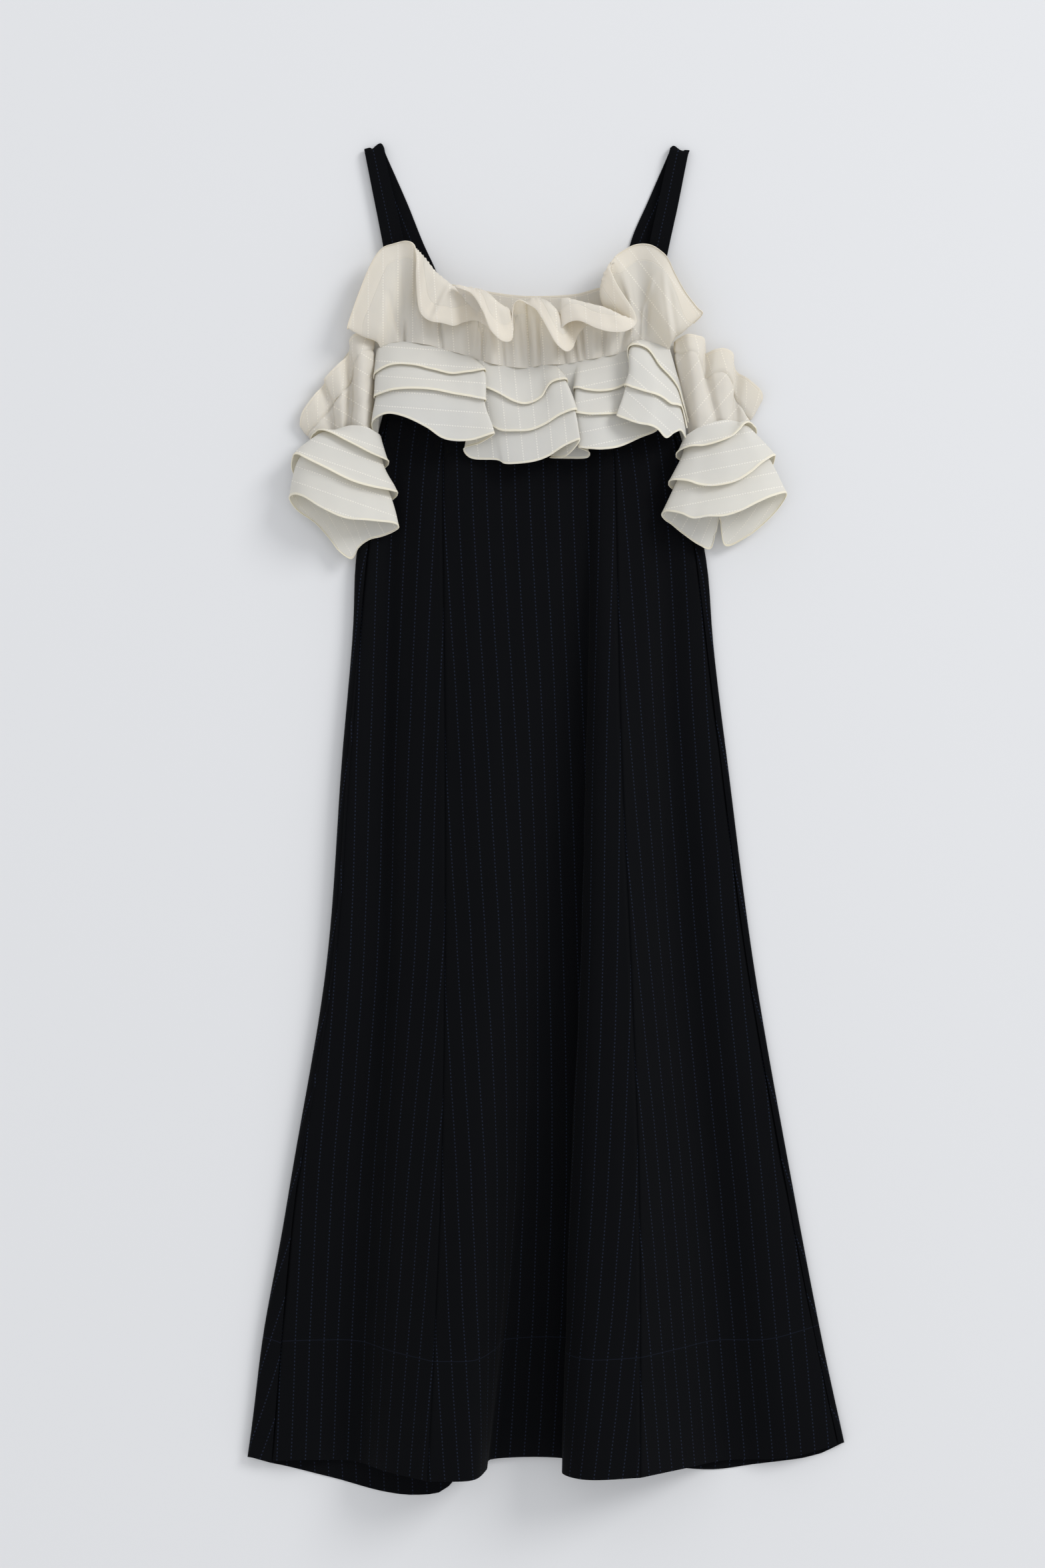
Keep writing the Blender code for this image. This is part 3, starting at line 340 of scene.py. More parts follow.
# Round a cuff: the cuff seam and the edges of the three tiers, each as x, y, and the heights of seam and lowest
# edge.
CUFF_LEFT = (
    ((-165, 373), (-158, 346.5), (-147.5, 317), (-143.5, 286), 15, 21),
    ((-168, 377), (-162.5, 350.5), (-154.5, 320.5), (-150, 290), 18, 28),
    ((-177, 382.5), (-177, 358), (-175.5, 325.5), (-172.5, 292.5), 20, 36),
    ((-188, 383), (-192, 366), (-197, 333), (-197, 295), 18, 40),
    ((-197, 380), (-205, 372), (-216.5, 343), (-219.5, 305), 16, 40),
    ((-206, 377), (-216, 375.5), (-232, 351), (-236, 315), 14, 36),
    ((-211.5, 376), (-223.5, 375.5), (-241, 355.5), (-246.5, 318), 12, 29),
    ((-215.5, 373.5), (-228, 370), (-246.5, 351.5), (-251.5, 314), 10, 20),
    ((-215.5, 369), (-227.5, 361.5), (-246, 337.5), (-243, 302), 8.5, 12),
    ((-210, 367.5), (-216.5, 349.5), (-233, 321.5), (-226, 290), 8.5, 12),
    ((-204, 367), (-206, 342), (-219, 310), (-212, 275), 9, 13),
    ((-196, 367), (-196, 338), (-206, 303.5), (-202, 262), 10, 14),
    ((-188.5, 367), (-187, 336), (-193, 301.5), (-190, 255), 11, 14),
    ((-182, 367), (-179.5, 335), (-182, 301.5), (-183, 266), 11.5, 13.5),
    ((-175.5, 367.5), (-172.5, 336), (-171, 303), (-173, 273.5), 12, 13),
    ((-169.5, 369.5), (-165, 339.5), (-160, 307), (-160, 277), 12.5, 13.5),
    ((-166, 371.5), (-160, 343), (-151.5, 312), (-149, 281.5), 13.3, 16),
)
CUFF_RIGHT = (
    ((137.5, 372), (130, 353.5), (121, 327), (112, 298.5), 15, 21),
    ((140.5, 375), (134.5, 358.5), (126, 330.5), (117.5, 301.5), 17.5, 28),
    ((147.5, 380), (143.5, 362.5), (138.5, 330), (131.5, 299), 19, 35),
    ((155.5, 384), (154, 363.5), (150, 326.5), (143, 294.5), 20, 38),
    ((163, 386.5), (163, 365.5), (163, 325.5), (157.5, 296.5), 19, 41),
    ((171, 388), (172, 368.5), (177, 327.5), (174, 297), 17, 42),
    ((178, 387.5), (181.5, 373), (189, 332), (190, 302), 14, 40),
    ((184, 385.5), (188.5, 378.5), (199.5, 339.5), (205, 309.5), 12, 36),
    ((188.5, 384), (194.5, 383.5), (210.5, 349), (221, 316.5), 11, 29),
    ((193, 381.5), (201.5, 380), (221, 354), (234.5, 319), 9.5, 17),
    ((193, 376.5), (203, 372.5), (219, 342.5), (227.5, 305.5), 8.5, 11),
    ((188.5, 372.5), (197.5, 359.5), (212, 329), (213, 290), 8.5, 9),
    ((182, 370.5), (188.5, 349.5), (199, 316), (195, 276), 8.5, 9),
    ((176, 369), (179.5, 342.5), (185, 309), (174, 268), 9, 9),
    ((170.5, 368.5), (171.5, 340.5), (175.5, 312), (168.5, 294), 10, 12),
    ((164.5, 368), (163, 340.5), (164.5, 313.5), (161, 266), 11, 12),
    ((158, 368), (154, 342), (152, 312), (149, 268.5), 12, 14),
    ((151, 368), (145, 344.5), (139, 314.5), (133, 279.5), 13, 15),
    ((144, 369), (137.5, 348), (130, 319.5), (122, 288.5), 12.5, 15),
    ((139, 370.5), (132.5, 350.5), (123.5, 323), (115.5, 293), 13.3, 17),
)

# The y at which each skirt line gives its place and height, before its hem.
LENGTHS = (448.0, 344.0, 84.0, -143.0, -370.0)
SIDE_LEFT = SkirtLine((-136.5, -164.5, -191, -208.5, -245, -268), (6.6, 9, 15, 15, 13, 9), -625)
FOLDS_LEFT = (
    SkirtLine((-127, -160, -180, -190, -209, -233), (6.4, 8.6, 14.5, 15, 13.5, 13), -624),
    SkirtLine((-117, -150, -158, -163, -177, -188), (6.2, 5.4, 5.5, 5.5, 5.5, 5.5), -625),
    SkirtLine((-107, -136, -141, -142, -146, -157), (6, 7, 15, 22, 32, 42), -635),
)
PRINCESS_LEFT = SkirtLine((-91, -101, -99, -99, -103, -116), (6, 9, 24, 34, 48, 66), -645)
FOLDS_CENTRE = (
    SkirtLine((-58, -50, -50, -55, -64, -73), (6, 10, 27, 38, 52, 66), -644),
    SkirtLine((-20, -3, -13, -25, -40, -59), (6, 8, 19, 26, 32, 38), -634),
    SkirtLine((6, 26, 18, 3, -19, -53), (6, 6.5, 6, 6, 6, 6), -623),
    SkirtLine((19, 40, 40, 36.5, 29, 21.5), (6, 6.5, 6, 6, 6, 6), -623),
    SkirtLine((25, 45, 40, 33.5, 23.5, 15.5), (6, 8, 19, 27, 35, 42), -637),
    SkirtLine((34, 52, 50, 48, 44, 40), (6, 10, 31, 42, 54, 66), -643.5),
)
PRINCESS_RIGHT = SkirtLine((55, 66, 72, 82, 90, 91), (6, 11, 32, 42, 54, 65), -641.5)
FOLDS_RIGHT = (
    SkirtLine((71, 92, 96, 107, 125, 136), (6, 9, 21, 27, 31, 33), -632),
    SkirtLine((81, 114, 118, 129, 153, 175), (6.2, 5.6, 6, 6, 6, 6), -624),
    SkirtLine((90, 127, 146, 169, 201, 234), (6.4, 5.6, 8, 10, 12, 13), -622),
)
SIDE_RIGHT = SkirtLine((93.5, 132.5, 166.5, 196, 236, 284.5), (6.6, 5.6, 5, 5, 5.5, 6), -609)
# The outline at each of LENGTHS and at the hem: x.
OUTLINE_LEFT = (-141, -170, -197, -214.5, -252, -291)
OUTLINE_RIGHT = (98, 138, 172.5, 202, 242, 290)
# Where an outline swells past its readings: the y, how far to the side, and over what length.
SWELLS_LEFT = ((255, -4.5, 50), (-500, -3.5, 75))
SWELLS_RIGHT = ((245, 3.5, 50),)
# The back panel's height at its top edge, and its hem: x and y.
BACK_TOP_HEIGHT = 3.2
BACK_HEM = ((-291, -621), (-273, -626), (-208, -641), (-150, -656), (-110, -657), (-96, -650), (-78, -630),
            (-52, -620), (13, -620), (52, -624), (117, -630), (162, -633), (201, -628), (247, -622.5),
            (270, -616.5), (290, -607))

# A strap's crossings, from its front end over the shoulder fold to its back end: left x, y and right x, y. Both
# straps have the same heights there.
STRAP_LEFT = (
    (-139.5, 450.5, -120, 454.5), (-159, 558, -139.5, 564.5), (-168.5, 606.5, -149.5, 610.5),
    (-177, 649.5, -158.5, 653), (-177.6, 652.8, -158.9, 656.8), (-177.6, 653.8, -158.9, 657.8),
    (-177.3, 652.8, -158.5, 656.8), (-176, 649.5, -157.5, 653), (-155.5, 598, -137, 604.5), (-138, 556, -120, 562),
    (-126, 529, -108, 536), (-113, 494, -95, 501), (-99.5, 452, -80, 458),
)
STRAP_RIGHT = (
    (78.5, 454.5, 97.5, 450.5), (100.5, 563, 119.5, 559), (110, 606, 129, 602), (119.5, 648, 138, 644),
    (120.7, 651.5, 139.2, 647.5), (121, 652.5, 139.5, 648.5), (120.6, 651.5, 139, 647.5), (119.5, 648, 137.5, 644),
    (100.5, 606, 119.5, 599), (84, 569, 102.5, 562), (75, 536, 93.5, 529), (60, 497, 79, 491), (44, 458, 63, 452),
)
STRAP_HEIGHTS = (6.4, 6.0, 5.6, 5.2, 4.3, 3.0, 1.65, 0.75, 0.75, 0.75, 2.4, 2.6, 3.2)

# The back of the off-shoulder band: x and y along its neck edge, and the y of its lower edge.
BAND_TOP = ((-161, 488), (-150, 514), (-130, 523), (-94, 522.5), (-58, 515.5), (-20, 511), (26, 512.5), (52, 519),
            (78, 520), (104, 519), (119, 492))
BAND_BOTTOM = 432

# Creases: from x, y to x, y, how far the cloth rises or sinks there, and how wide the crease is.
YOKE_CREASES = (
    # Rounded pleats between the slits
    (-120, 462, -122, 500, 3.8, 8.5), (-82, 452, -84, 492, 5.0, 8.5), (-52, 442, -55, 480, 4.0, 5.2),
    (-28, 440, -30, 486, 4.8, 5.8), (-10, 440, -11, 490, 2.8, 2.8), (7, 441, 6, 480, 4.4, 5.8),
    (25, 444, 22, 482, 2.8, 2.8), (34, 446, 30, 482, 2.2, 2.2), (46, 448, 46, 482, 3.8, 4.6),
    (63, 452, 64, 480, 3.8, 4.6), (78, 459, 88, 488, 3.0, 3.8),
    # Slits where one pleat meets the next
    (-101.5, 456, -104, 492, -3.0, 1.9), (-63, 444, -60, 482, -2.8, 1.8), (-41, 440, -43, 474, -2.2, 1.7),
    (-15, 440, -18, 500, -3.2, 2.0), (-4.5, 441, -6, 474, -1.6, 1.5), (19.5, 442, 16, 470, -2.6, 1.6),
    (30.5, 445, 26, 482, -2.0, 1.4), (37, 446, 34, 486, -2.4, 1.6), (54.5, 449, 57, 482, -2.6, 1.7),
    (72, 455, 78, 484, -2.0, 1.9),
    # Left lobe: the valley beside its standing band, and the fold that ends at the seam
    (-153, 512, -139.5, 466, -3.4, 4.6), (-138.5, 462, -138, 486, -2.6, 1.3), (-146, 462, -146, 500, 1.6, 3.5),
    # Right lobe: the ridge down its middle and the soft fold from its band
    (104, 526, 94.5, 494, 1.7, 2.2), (94.5, 500, 93, 466, 1.7, 2.0), (99, 520, 97, 470, -1.2, 3.0),
    (114.5, 530, 122.5, 466, 1.5, 2.6), (119, 520, 127, 470, -1.3, 3.0),
)
# The front gores' creases.
SKIRT_CREASES = (
    (-118, 330, -136, -60, 1.3, 9.0), (-150, 90, -182, -470, 1.8, 13.0), (-122, -160, -138, -560, -1.4, 10.0),
    (-72, 335, -76, -40, 1.5, 9.0), (-30, 340, -44, -10, -1.3, 8.0), (8, 342, 4, 80, 1.3, 8.0),
    (56, 335, 60, -70, 1.4, 8.0), (-84, -90, -90, -520, 1.4, 11.0), (66, -120, 72, -560, 1.3, 10.0),
    (92, 325, 112, -60, 1.4, 9.0), (118, -30, 160, -500, 1.6, 12.0), (112, -260, 130, -600, -1.4, 10.0),
)
# The back panel's creases, on its underside as it lies.
BACK_CREASES = (
    (-150, 300, -215, -180, 1.6, 16.0), (-90, 380, -120, 40, 1.3, 12.0), (-60, -60, -110, -560, 2.4, 20.0),
    (-14, 250, -26, -320, 1.5, 15.0), (44, 60, 62, -590, 2.6, 22.0), (78, 390, 118, 20, 1.3, 11.0),
    (140, -40, 206, -540, 2.0, 18.0), (-196, -260, -232, -590, 1.8, 14.0), (20, 420, 24, 290, 1.1, 9.0),
)
# The creases on the frill where it flops over.
FLOP_CREASES = (
    (-94.5, 523, -112, 489, 1.8, 2.6), (-99, 519, -116, 490, -1.8, 3.4), (-118, 548, -124, 505, 1.0, 4.0),
    (-69, 514, -55, 484, 0.8, 5.0), (-48, 500, -41, 474, -2.2, 4.0), (8, 492, 18, 462, -1.8, 3.2),
    (26, 500, 36, 487, 1.0, 5.0), (58, 498, 66, 478, -1.2, 6.0),
)

# The parts of the frill that lie open and smooth, where the stripes run straight as seen: from which fold to which,
# and the stripes' turn from the dress's length.
FRILL_LAID = ((0.0, 11.5, 0.0), (11.6, 62.9, 4.0), (63.0, 90.0, 38.0))

# The same for the flounces, the cuffs and the sleeves.
FLOUNCE_LAID = ((0.0, 8.5, 86.0), (8.6, 20.5, 6.0), (20.6, 29.0, 102.0), (29.1, 42.0, 48.0))
CUFF_LEFT_LAID = ((0.0, 7.5, 71.0),)
CUFF_RIGHT_LAID = ((0.0, 9.5, 101.0),)
SLEEVE_LEFT_LAID = ((0.0, 11.5, 58.0),)
SLEEVE_RIGHT_LAID = ((0.0, 13.5, 140.0),)

# How far a strap's fold at the shoulder is pushed up or down, from its left edge to its right one.
FOLD_LEFT = ((0.0, 0.0), (0.3, 0.2), (0.41, -1.5), (0.6, 0.8), (0.81, 2.4), (0.92, 1.2), (1.0, -2.2))
FOLD_RIGHT = ((0.0, 2.7), (0.16, 5.3), (0.47, 2.7), (0.67, 2.2), (0.75, 3.4), (1.0, 4.1))


def place(point: Vector) -> Vector:
    """The place in the part's frame, in metres, of a point read from above with its height above the floor."""
    share = 1.0 - point.z / VIEW_HEIGHT
    x = VIEW_MIDDLE[0] + (point.x - VIEW_MIDDLE[0]) * share - FRAME_MIDDLE[0]
    y = VIEW_MIDDLE[1] + (point.y - VIEW_MIDDLE[1]) * share - FRAME_MIDDLE[1]
    return Vector((x * MM, y * MM, point.z * MM))


def between(values: list[tuple], at: float, closed: bool = False) -> tuple:
    """The tuple at a fractional index into a list, on a smooth curve through all of them.

    Args:
        values: Tuples of the same length.
        at: The fractional index.
        closed: True where the list goes round.

    Returns:
        The tuple there.
    """
    count = len(values)
    low = min(int(math.floor(at)), count - 1 if closed else count - 2)
    t = at - low
    picks = [(low + step) % count if closed else max(0, min(count - 1, low + step)) for step in (-1, 0, 1, 2)]
    return tuple(
        0.5 * (2 * b + (c - a) * t + (2 * a - 5 * b + 4 * c - d) * t * t + (3 * b - a - 3 * c + d) * t ** 3)
        for a, b, c, d in zip(*(values[pick] for pick in picks))
    )


def read_list(values: list[float], at: float) -> float:
    """The number at a fractional index into a list, on a smooth curve through all of them."""
    return between([(value,) for value in values], at)[0]


def read_curve(points: Rows, x: float) -> float:
    """The y at x on a smooth curve through points in order of x, or the nearest end's."""
    if x <= points[0][0]:
        return points[0][1]
    for index, (start, end) in enumerate(zip(points, points[1:])):
        if x <= end[0]:
            return read_list([y for _, y in points], index + (x - start[0]) / (end[0] - start[0]))
    return points[-1][1]


def follow(points: list[Vector], steps: int) -> list[Vector]:
    """Points along a curve that keeps a rounded turn where it doubles back.

    Args:
        points: The points that it goes through.
        steps: How many steps it takes from each to the next.

    Returns:
        The points along it, both ends included.
    """
    chords = [max((b - a).length, TINY) for a, b in zip(points, points[1:])]
    tangents = [(points[1] - points[0]) / chords[0]]
    for before, point, after in zip(points, points[1:], points[2:]):
        straightness = (after - before).length / ((point - before).length + (after - point).length + TINY)
        tangents.append((after - before).normalized() * max(straightness, LEAST_ROUNDING))
    tangents.append((points[-1] - points[-2]) / chords[-1])
    found = [points[0].copy()]
    for a, b, m, n, length in zip(points, points[1:], tangents, tangents[1:], chords):
        for step in range(1, steps + 1):
            t = step / steps
            found.append(a * (2 * t ** 3 - 3 * t ** 2 + 1) + m * length * (t ** 3 - 2 * t ** 2 + t)
                         + b * (3 * t ** 2 - 2 * t ** 3) + n * length * (t ** 3 - t ** 2))
    return found


def distances(points: list[Vector]) -> list[float]:
    """How far along a run of points each one lies."""
    found = [0.0]
    for a, b in zip(points, points[1:]):
        found.append(found[-1] + (b - a).length)
    return found


def resample(points: list[Vector], marks: list[float]) -> list[Vector]:
    """Points at given distances along a run of points.

    Args:
        points: The run.
        marks: Distances along it, in rising order.

    Returns:
        A point at each mark.
    """
    along = distances(points)
    found, index = [], 0
    for mark in marks:
        while index < len(points) - 2 and along[index + 1] < mark:
            index += 1
        span = max(along[index + 1] - along[index], TINY)
        found.append(points[index].lerp(points[index + 1], (mark - along[index]) / span))
    return found


@dataclass(frozen=True)
class Cut:
    """How a sheet is cut from its cloth: straight, or round a centre as a flounce is.

    radius is the cut's inner radius, or 0 for a straight cut, turn is the angle from the woven stripes to the
    sheet's own length, and start is how far along the sheet that angle is measured.
    """

    radius: float = 0.0
    turn: float = 0.0
    start: float = 0.0

    def weave(self, across: float, down: float) -> tuple[float, float]:
        """The place in the flat cloth, in metres, of a point of the sheet.

        Args:
            across: How far along the seam it is.
            down: How far below the seam it is.

        Returns:
            The distances across and along the woven stripes.
        """
        turn = math.radians(self.turn)
        if self.radius:
            angle = turn + (across - self.start) / self.radius
            reach = self.radius + down
            return reach * math.sin(angle) * MM, reach * math.cos(angle) * MM
        x = across - self.start
        return ((x * math.cos(turn) + down * math.sin(turn)) * MM,
                (down * math.cos(turn) - x * math.sin(turn)) * MM)


@dataclass
class Sheet:
    """A sheet of cloth as a grid of readings, whose rows run from the sewn edge down to the free one.

    up is 1 or -1: the side of the grid that is the cloth's face. facing is the width of the hem along the free edge.
    laid holds the rows whose stripes run straight as seen, each with the stripes' turn. A centred sheet's stripes run
    along its middle, at an even spacing however wide the sheet gets.
    """

    rows: list[list[Vector]]
    closed: bool
    up: float
    facing: float
    cut: Cut
    laid: dict[int, float] = field(default_factory=dict)
    centred: bool = False

    @classmethod
    def through(cls, sections: list[tuple], steps: int, columns: int, up: float, facing: float, cut: Cut,
                closed: bool = False, end: int | None = None) -> "Sheet":
        """A sheet on smooth curves through its sections.

        Args:
            sections: The control points of each section, from the sewn edge on.
            steps: How many rows there are from a section to the next.
            columns: How many points each row has above the hem.
            up: 1 or -1, the grid's face side.
            facing: The hem's width.
            cut: How the sheet is cut.
            closed: True for a tube.
            end: The number of the sheet's last control point, where it ends before the section does.

        Returns:
            The sheet.
        """
        count, points = len(sections), len(sections[0])
        last = points - 1 if end is None else end
        rows = []
        for step in range(count * steps if closed else (count - 1) * steps + 1):
            controls = [Vector(between([section[k] for section in sections], step / steps, closed))
                        for k in range(points)]
            line = follow(controls, CURVE_STEPS)[:last * CURVE_STEPS + 1]
            length = distances(line)[-1]
            hem = min(facing, length * MOST_HEM_SHARE)
            marks = [(length - hem) * k / columns for k in range(columns)]
            marks += [length - hem + hem * k / HEM_COLUMNS for k in range(HEM_COLUMNS + 1)] if hem else [length]
            rows.append(resample(line, marks))
        return cls(rows, closed, up, facing, cut)

    def normals(self) -> list[list[Vector]]:
        """The face side's normal at each point."""
        count, found = len(self.rows), []
        for i, row in enumerate(self.rows):
            before = self.rows[(i - 1) % count] if self.closed else self.rows[max(i - 1, 0)]
            after = self.rows[(i + 1) % count] if self.closed else self.rows[min(i + 1, count - 1)]
            line = []
            for j in range(len(row)):
                across = (after[j] - row[j]).normalized() + (row[j] - before[j]).normalized()
                down = row[min(j + 1, len(row) - 1)] - row[max(j - 1, 0)]
                line.append(down.cross(across).normalized() * self.up)
            found.append(line)
        return found

    def lift(self, step: float, flare: float) -> None:
        """Moves the cloth out along its face side by a step, and its free edge by a flare more.

        An open sheet's sewn edge doesn't move along the dress, so that it stays at its seam.
        """
        for row, line in zip(self.rows, self.normals()):
            for j, normal in enumerate(line):
                if j == 0 and not self.closed:
                    normal = Vector((normal.x, 0.0, normal.z)).normalized()
                share = (j / (len(row) - 1)) ** 2 * max(normal.z, SIDE_FLARE)
                row[j] = row[j] + normal * (step + flare * share)

    def crease(self, creases: Rows, side_up: float) -> None:
        """Presses creases into the cloth, each fading out at both ends.

        Args:
            creases: Rows of start x, y, end x, y, rise and width.
            side_up: 1 where the grid's face side is up, -1 where its other side is.
        """
        normals = self.normals()
        for x0, y0, x1, y1, rise, width in creases:
            start, way = Vector((x0, y0)), Vector((x1 - x0, y1 - y0))
            length = way.length
            way.normalize()
            for row, line in zip(self.rows, normals):
                for j, point in enumerate(row):
                    away = point.xy - start
                    along = away.dot(way) / length
                    if not -CREASE_RUN_OUT < along < 1 + CREASE_RUN_OUT or line[j].z * side_up <= CREASE_LEAST_UP:
                        continue
                    side = (away.x * way.y - away.y * way.x) / width
                    if abs(side) < CREASE_REACH:
                        run = min(max((along + CREASE_RUN_OUT) / (1 + 2 * CREASE_RUN_OUT), 0), 1)
                        fade = math.sin(math.pi * run) ** CREASE_FADE
                        row[j] = point + line[j] * side_up * rise * fade * math.exp(-side * side)

    def ripple(self, height: float, size: float, seed: float) -> None:
        """Gives the cloth slow unevenness of a height and size, as handled cloth has; seed picks which."""
        for row, line in zip(self.rows, self.normals()):
            for j, (point, normal) in enumerate(zip(row, line)):
                fade = min(j / RIPPLE_FADE, 1.0)
                row[j] = point + normal * height * fade * noise.noise(Vector((point.x, point.y, seed)) / size)

    def lay_stripes(self, spans: Rows, steps: int) -> None:
        """Marks the rows whose stripes run straight as seen, by spans of folds that are steps rows apart."""
        self.laid = {index: turn for start, end, turn in spans
                     for index in range(len(self.rows)) if start <= index / steps <= end}

    def pinch(self, depth: float, width: float) -> None:
        """Draws the cloth in by a depth along its sewn edge, as a seam does, in a groove of a width."""
        for row, line in zip(self.rows, self.normals()):
            for j, (point, normal, away) in enumerate(zip(row, line, distances(row))):
                row[j] = point - normal * depth * math.exp(-(away / width) ** 2)

    def settle(self, floor: float) -> None:
        """Keeps every point at or above a height."""
        for row in self.rows:
            for point in row:
                point.z = max(point.z, floor)

    def roll_hem(self) -> None:
        """Rolls the free edge under, as a narrow machine-rolled hem."""
        for row, line in zip(self.rows, self.normals()):
            out, up = (row[-1] - row[-2]).normalized(), line[-1]
            middle = row[-1] - up * HEM_RADIUS
            for angle in (math.radians(degrees) for degrees in HEM_ANGLES):
                row.append(middle + up * HEM_RADIUS * math.cos(angle) + out * HEM_RADIUS * math.sin(angle))

    def hang_tier(self, tier: int, flares: tuple[float, ...], laid: Rows, steps: int, seed: float) -> None:
        """Finishes a tier of a flounce or a cuff, which lies over the next one down.

        Args:
            tier: Its number, 1 for the uppermost.
            flares: How much further each tier's free edge stands off.
            laid: The spans whose stripes run straight as seen.
            steps: How many rows there are from a fold to the next.
            seed: Which ripple the first tier has; the others have the next ones.
        """
        self.lay_stripes(laid, steps)
        self.lift(TIER_STEP * (TIERS - tier), flares[tier - 1])
        self.ripple(height=0.7, size=20.0, seed=seed + tier - 1)
        self.roll_hem()

    def coordinates(self) -> tuple[list, list]:
        """The weave and hem coordinates of each point, with the first row again at the end of a closed sheet.

        Returns:
            Two grids of pairs: the place in the flat cloth, and the distance to the free edge with the hem's width.
        """
        rows = self.rows + [self.rows[0]] if self.closed else self.rows
        middle = len(rows[0]) // 2
        weave, hem, across = [], [], 0.0
        before = rows[0]
        levels = [distances(list(level)) for level in zip(*rows)] if self.centred else []
        for index, row in enumerate(rows):
            across += (row[middle] - before[middle]).length
            before = row
            down = distances(row)
            if self.centred:
                weave.append([self.cut.weave(level[index] - level[-1] / 2, d) for level, d in zip(levels, down)])
            elif index % len(self.rows) in self.laid:
                seen = Cut(turn=self.laid[index % len(self.rows)])
                weave.append([seen.weave(point.x, point.y) for point in row])
            else:
                weave.append([self.cut.weave(across, d) for d in down])
            hem.append([((down[-1] - d) * MM, self.facing * MM) for d in down])
        return weave, hem

    def build(self, name: str, wall: float, material: Material) -> Object:
        """Makes the sheet's mesh, gives it its wall and smooths it.

        Args:
            name: The piece's name.
            wall: The cloth's thickness.
            material: Its finish.

        Returns:
            The new object.
        """
        weave, hem = self.coordinates()
        width, count = len(self.rows[0]), len(self.rows)
        faces, corners = [], []
        for i in range(count if self.closed else count - 1):
            here, there = i * width, (i + 1) % count * width
            for j in range(width - 1):
                face = [(here + j, i, j), (here + j + 1, i, j + 1),
                        (there + j + 1, i + 1, j + 1), (there + j, i + 1, j)]
                face = face if self.up > 0 else face[::-1]
                faces.append([corner[0] for corner in face])
                corners += [corner[1:] for corner in face]
        mesh = bpy.data.meshes.new(name)
        mesh.from_pydata([place(point) for row in self.rows for point in row], [], faces)
        for layer, values in (("weave", weave), ("hem", hem)):
            flat = [number for i, j in corners for number in values[i][j]]
            mesh.uv_layers.new(name=layer).data.foreach_set("uv", flat)
        mesh.materials.append(material)
        obj = bpy.data.objects.new(name, mesh)
        bpy.context.scene.collection.objects.link(obj)
        bpy.ops.object.select_all(action="DESELECT")
        obj.select_set(True)
        bpy.context.view_layer.objects.active = obj
        solid = obj.modifiers.new("wall", "SOLIDIFY")
        solid.thickness = wall * MM
        solid.offset = 0.0
        bpy.ops.object.modifier_apply(modifier=solid.name)
        bpy.ops.object.shade_smooth_by_angle(angle=math.radians(SMOOTH_ANGLE))
        return obj


def linear(colour: str) -> tuple[float, float, float, float]:
    """The linear colour of an sRGB hex value, by the sRGB standard's curve."""
    parts = [int(colour[i:i + 2], 16) / 255 for i in (1, 3, 5)]
    return (*(v / 12.92 if v <= 0.04045 else ((v + 0.055) / 1.055) ** 2.4 for v in parts), 1.0)


def add_node(tree: NodeTree, kind: str, inputs: dict | None = None, **settings: object) -> Node:
    """Adds a node with its settings and links.

    Args:
        tree: The material's or world's node tree.
        kind: The node's type.
        inputs: A value, or the output that feeds it, for each input by name or number.
        **settings: The node's own properties.

    Returns:
        The node.
    """
    node = tree.nodes.new(kind)
    for name, value in settings.items():
        setattr(node, name, value)
    for key, value in (inputs or {}).items():
        if isinstance(value, NodeSocket):
            tree.links.new(value, node.inputs[key])
        else:
            node.inputs[key].default_value = value
    return node


def maths(tree: NodeTree, operation: str, *values: object, clamp: bool = False) -> NodeSocket:
    """The result of a sum on numbers and sockets."""
    return add_node(tree, "ShaderNodeMath", dict(enumerate(values)), operation=operation, use_clamp=clamp).outputs[0]


def ramp(tree: NodeTree, value: NodeSocket, reach: tuple[float, float],
         levels: tuple[float, float] = (0.0, 1.0)) -> NodeSocket:
    """A value carried from one range to another, and held at the ends."""
    return add_node(tree, "ShaderNodeMapRange", {
        "Value": value, "From Min": reach[0], "From Max": reach[1],
        "To Min": levels[0], "To Max": levels[1]}).outputs[0]


def blend(tree: NodeTree, factor: NodeSocket, first: object, second: object) -> NodeSocket:
    """The colour that a factor picks between two."""
    return add_node(tree, "ShaderNodeMix", {"Factor": factor, "A": first, "B": second},
                    data_type="RGBA").outputs["Result"]


def speckle(tree: NodeTree, scale: float, detail: float) -> NodeSocket:
    """Noise in the piece's own coordinates."""
    axes = add_node(tree, "ShaderNodeTexCoord")
    return add_node(tree, "ShaderNodeTexNoise", {
        "Vector": axes.outputs["Object"], "Scale": scale, "Detail": detail}).outputs["Fac"]


def uv_axes(tree: NodeTree, layer: str) -> tuple[NodeSocket, NodeSocket]:
    """The two coordinates of one of the sheet's own maps."""
    coordinates = add_node(tree, "ShaderNodeUVMap", uv_map=layer)
    axes = add_node(tree, "ShaderNodeSeparateXYZ", {0: coordinates.outputs["UV"]})
    return axes.outputs["X"], axes.outputs["Y"]


@dataclass(frozen=True)
class Bolt:
    """A cloth ready to be cut: its material, its wall and the name of the part's slot that it is meant for."""

    material: Material
    wall: float
    slot: str


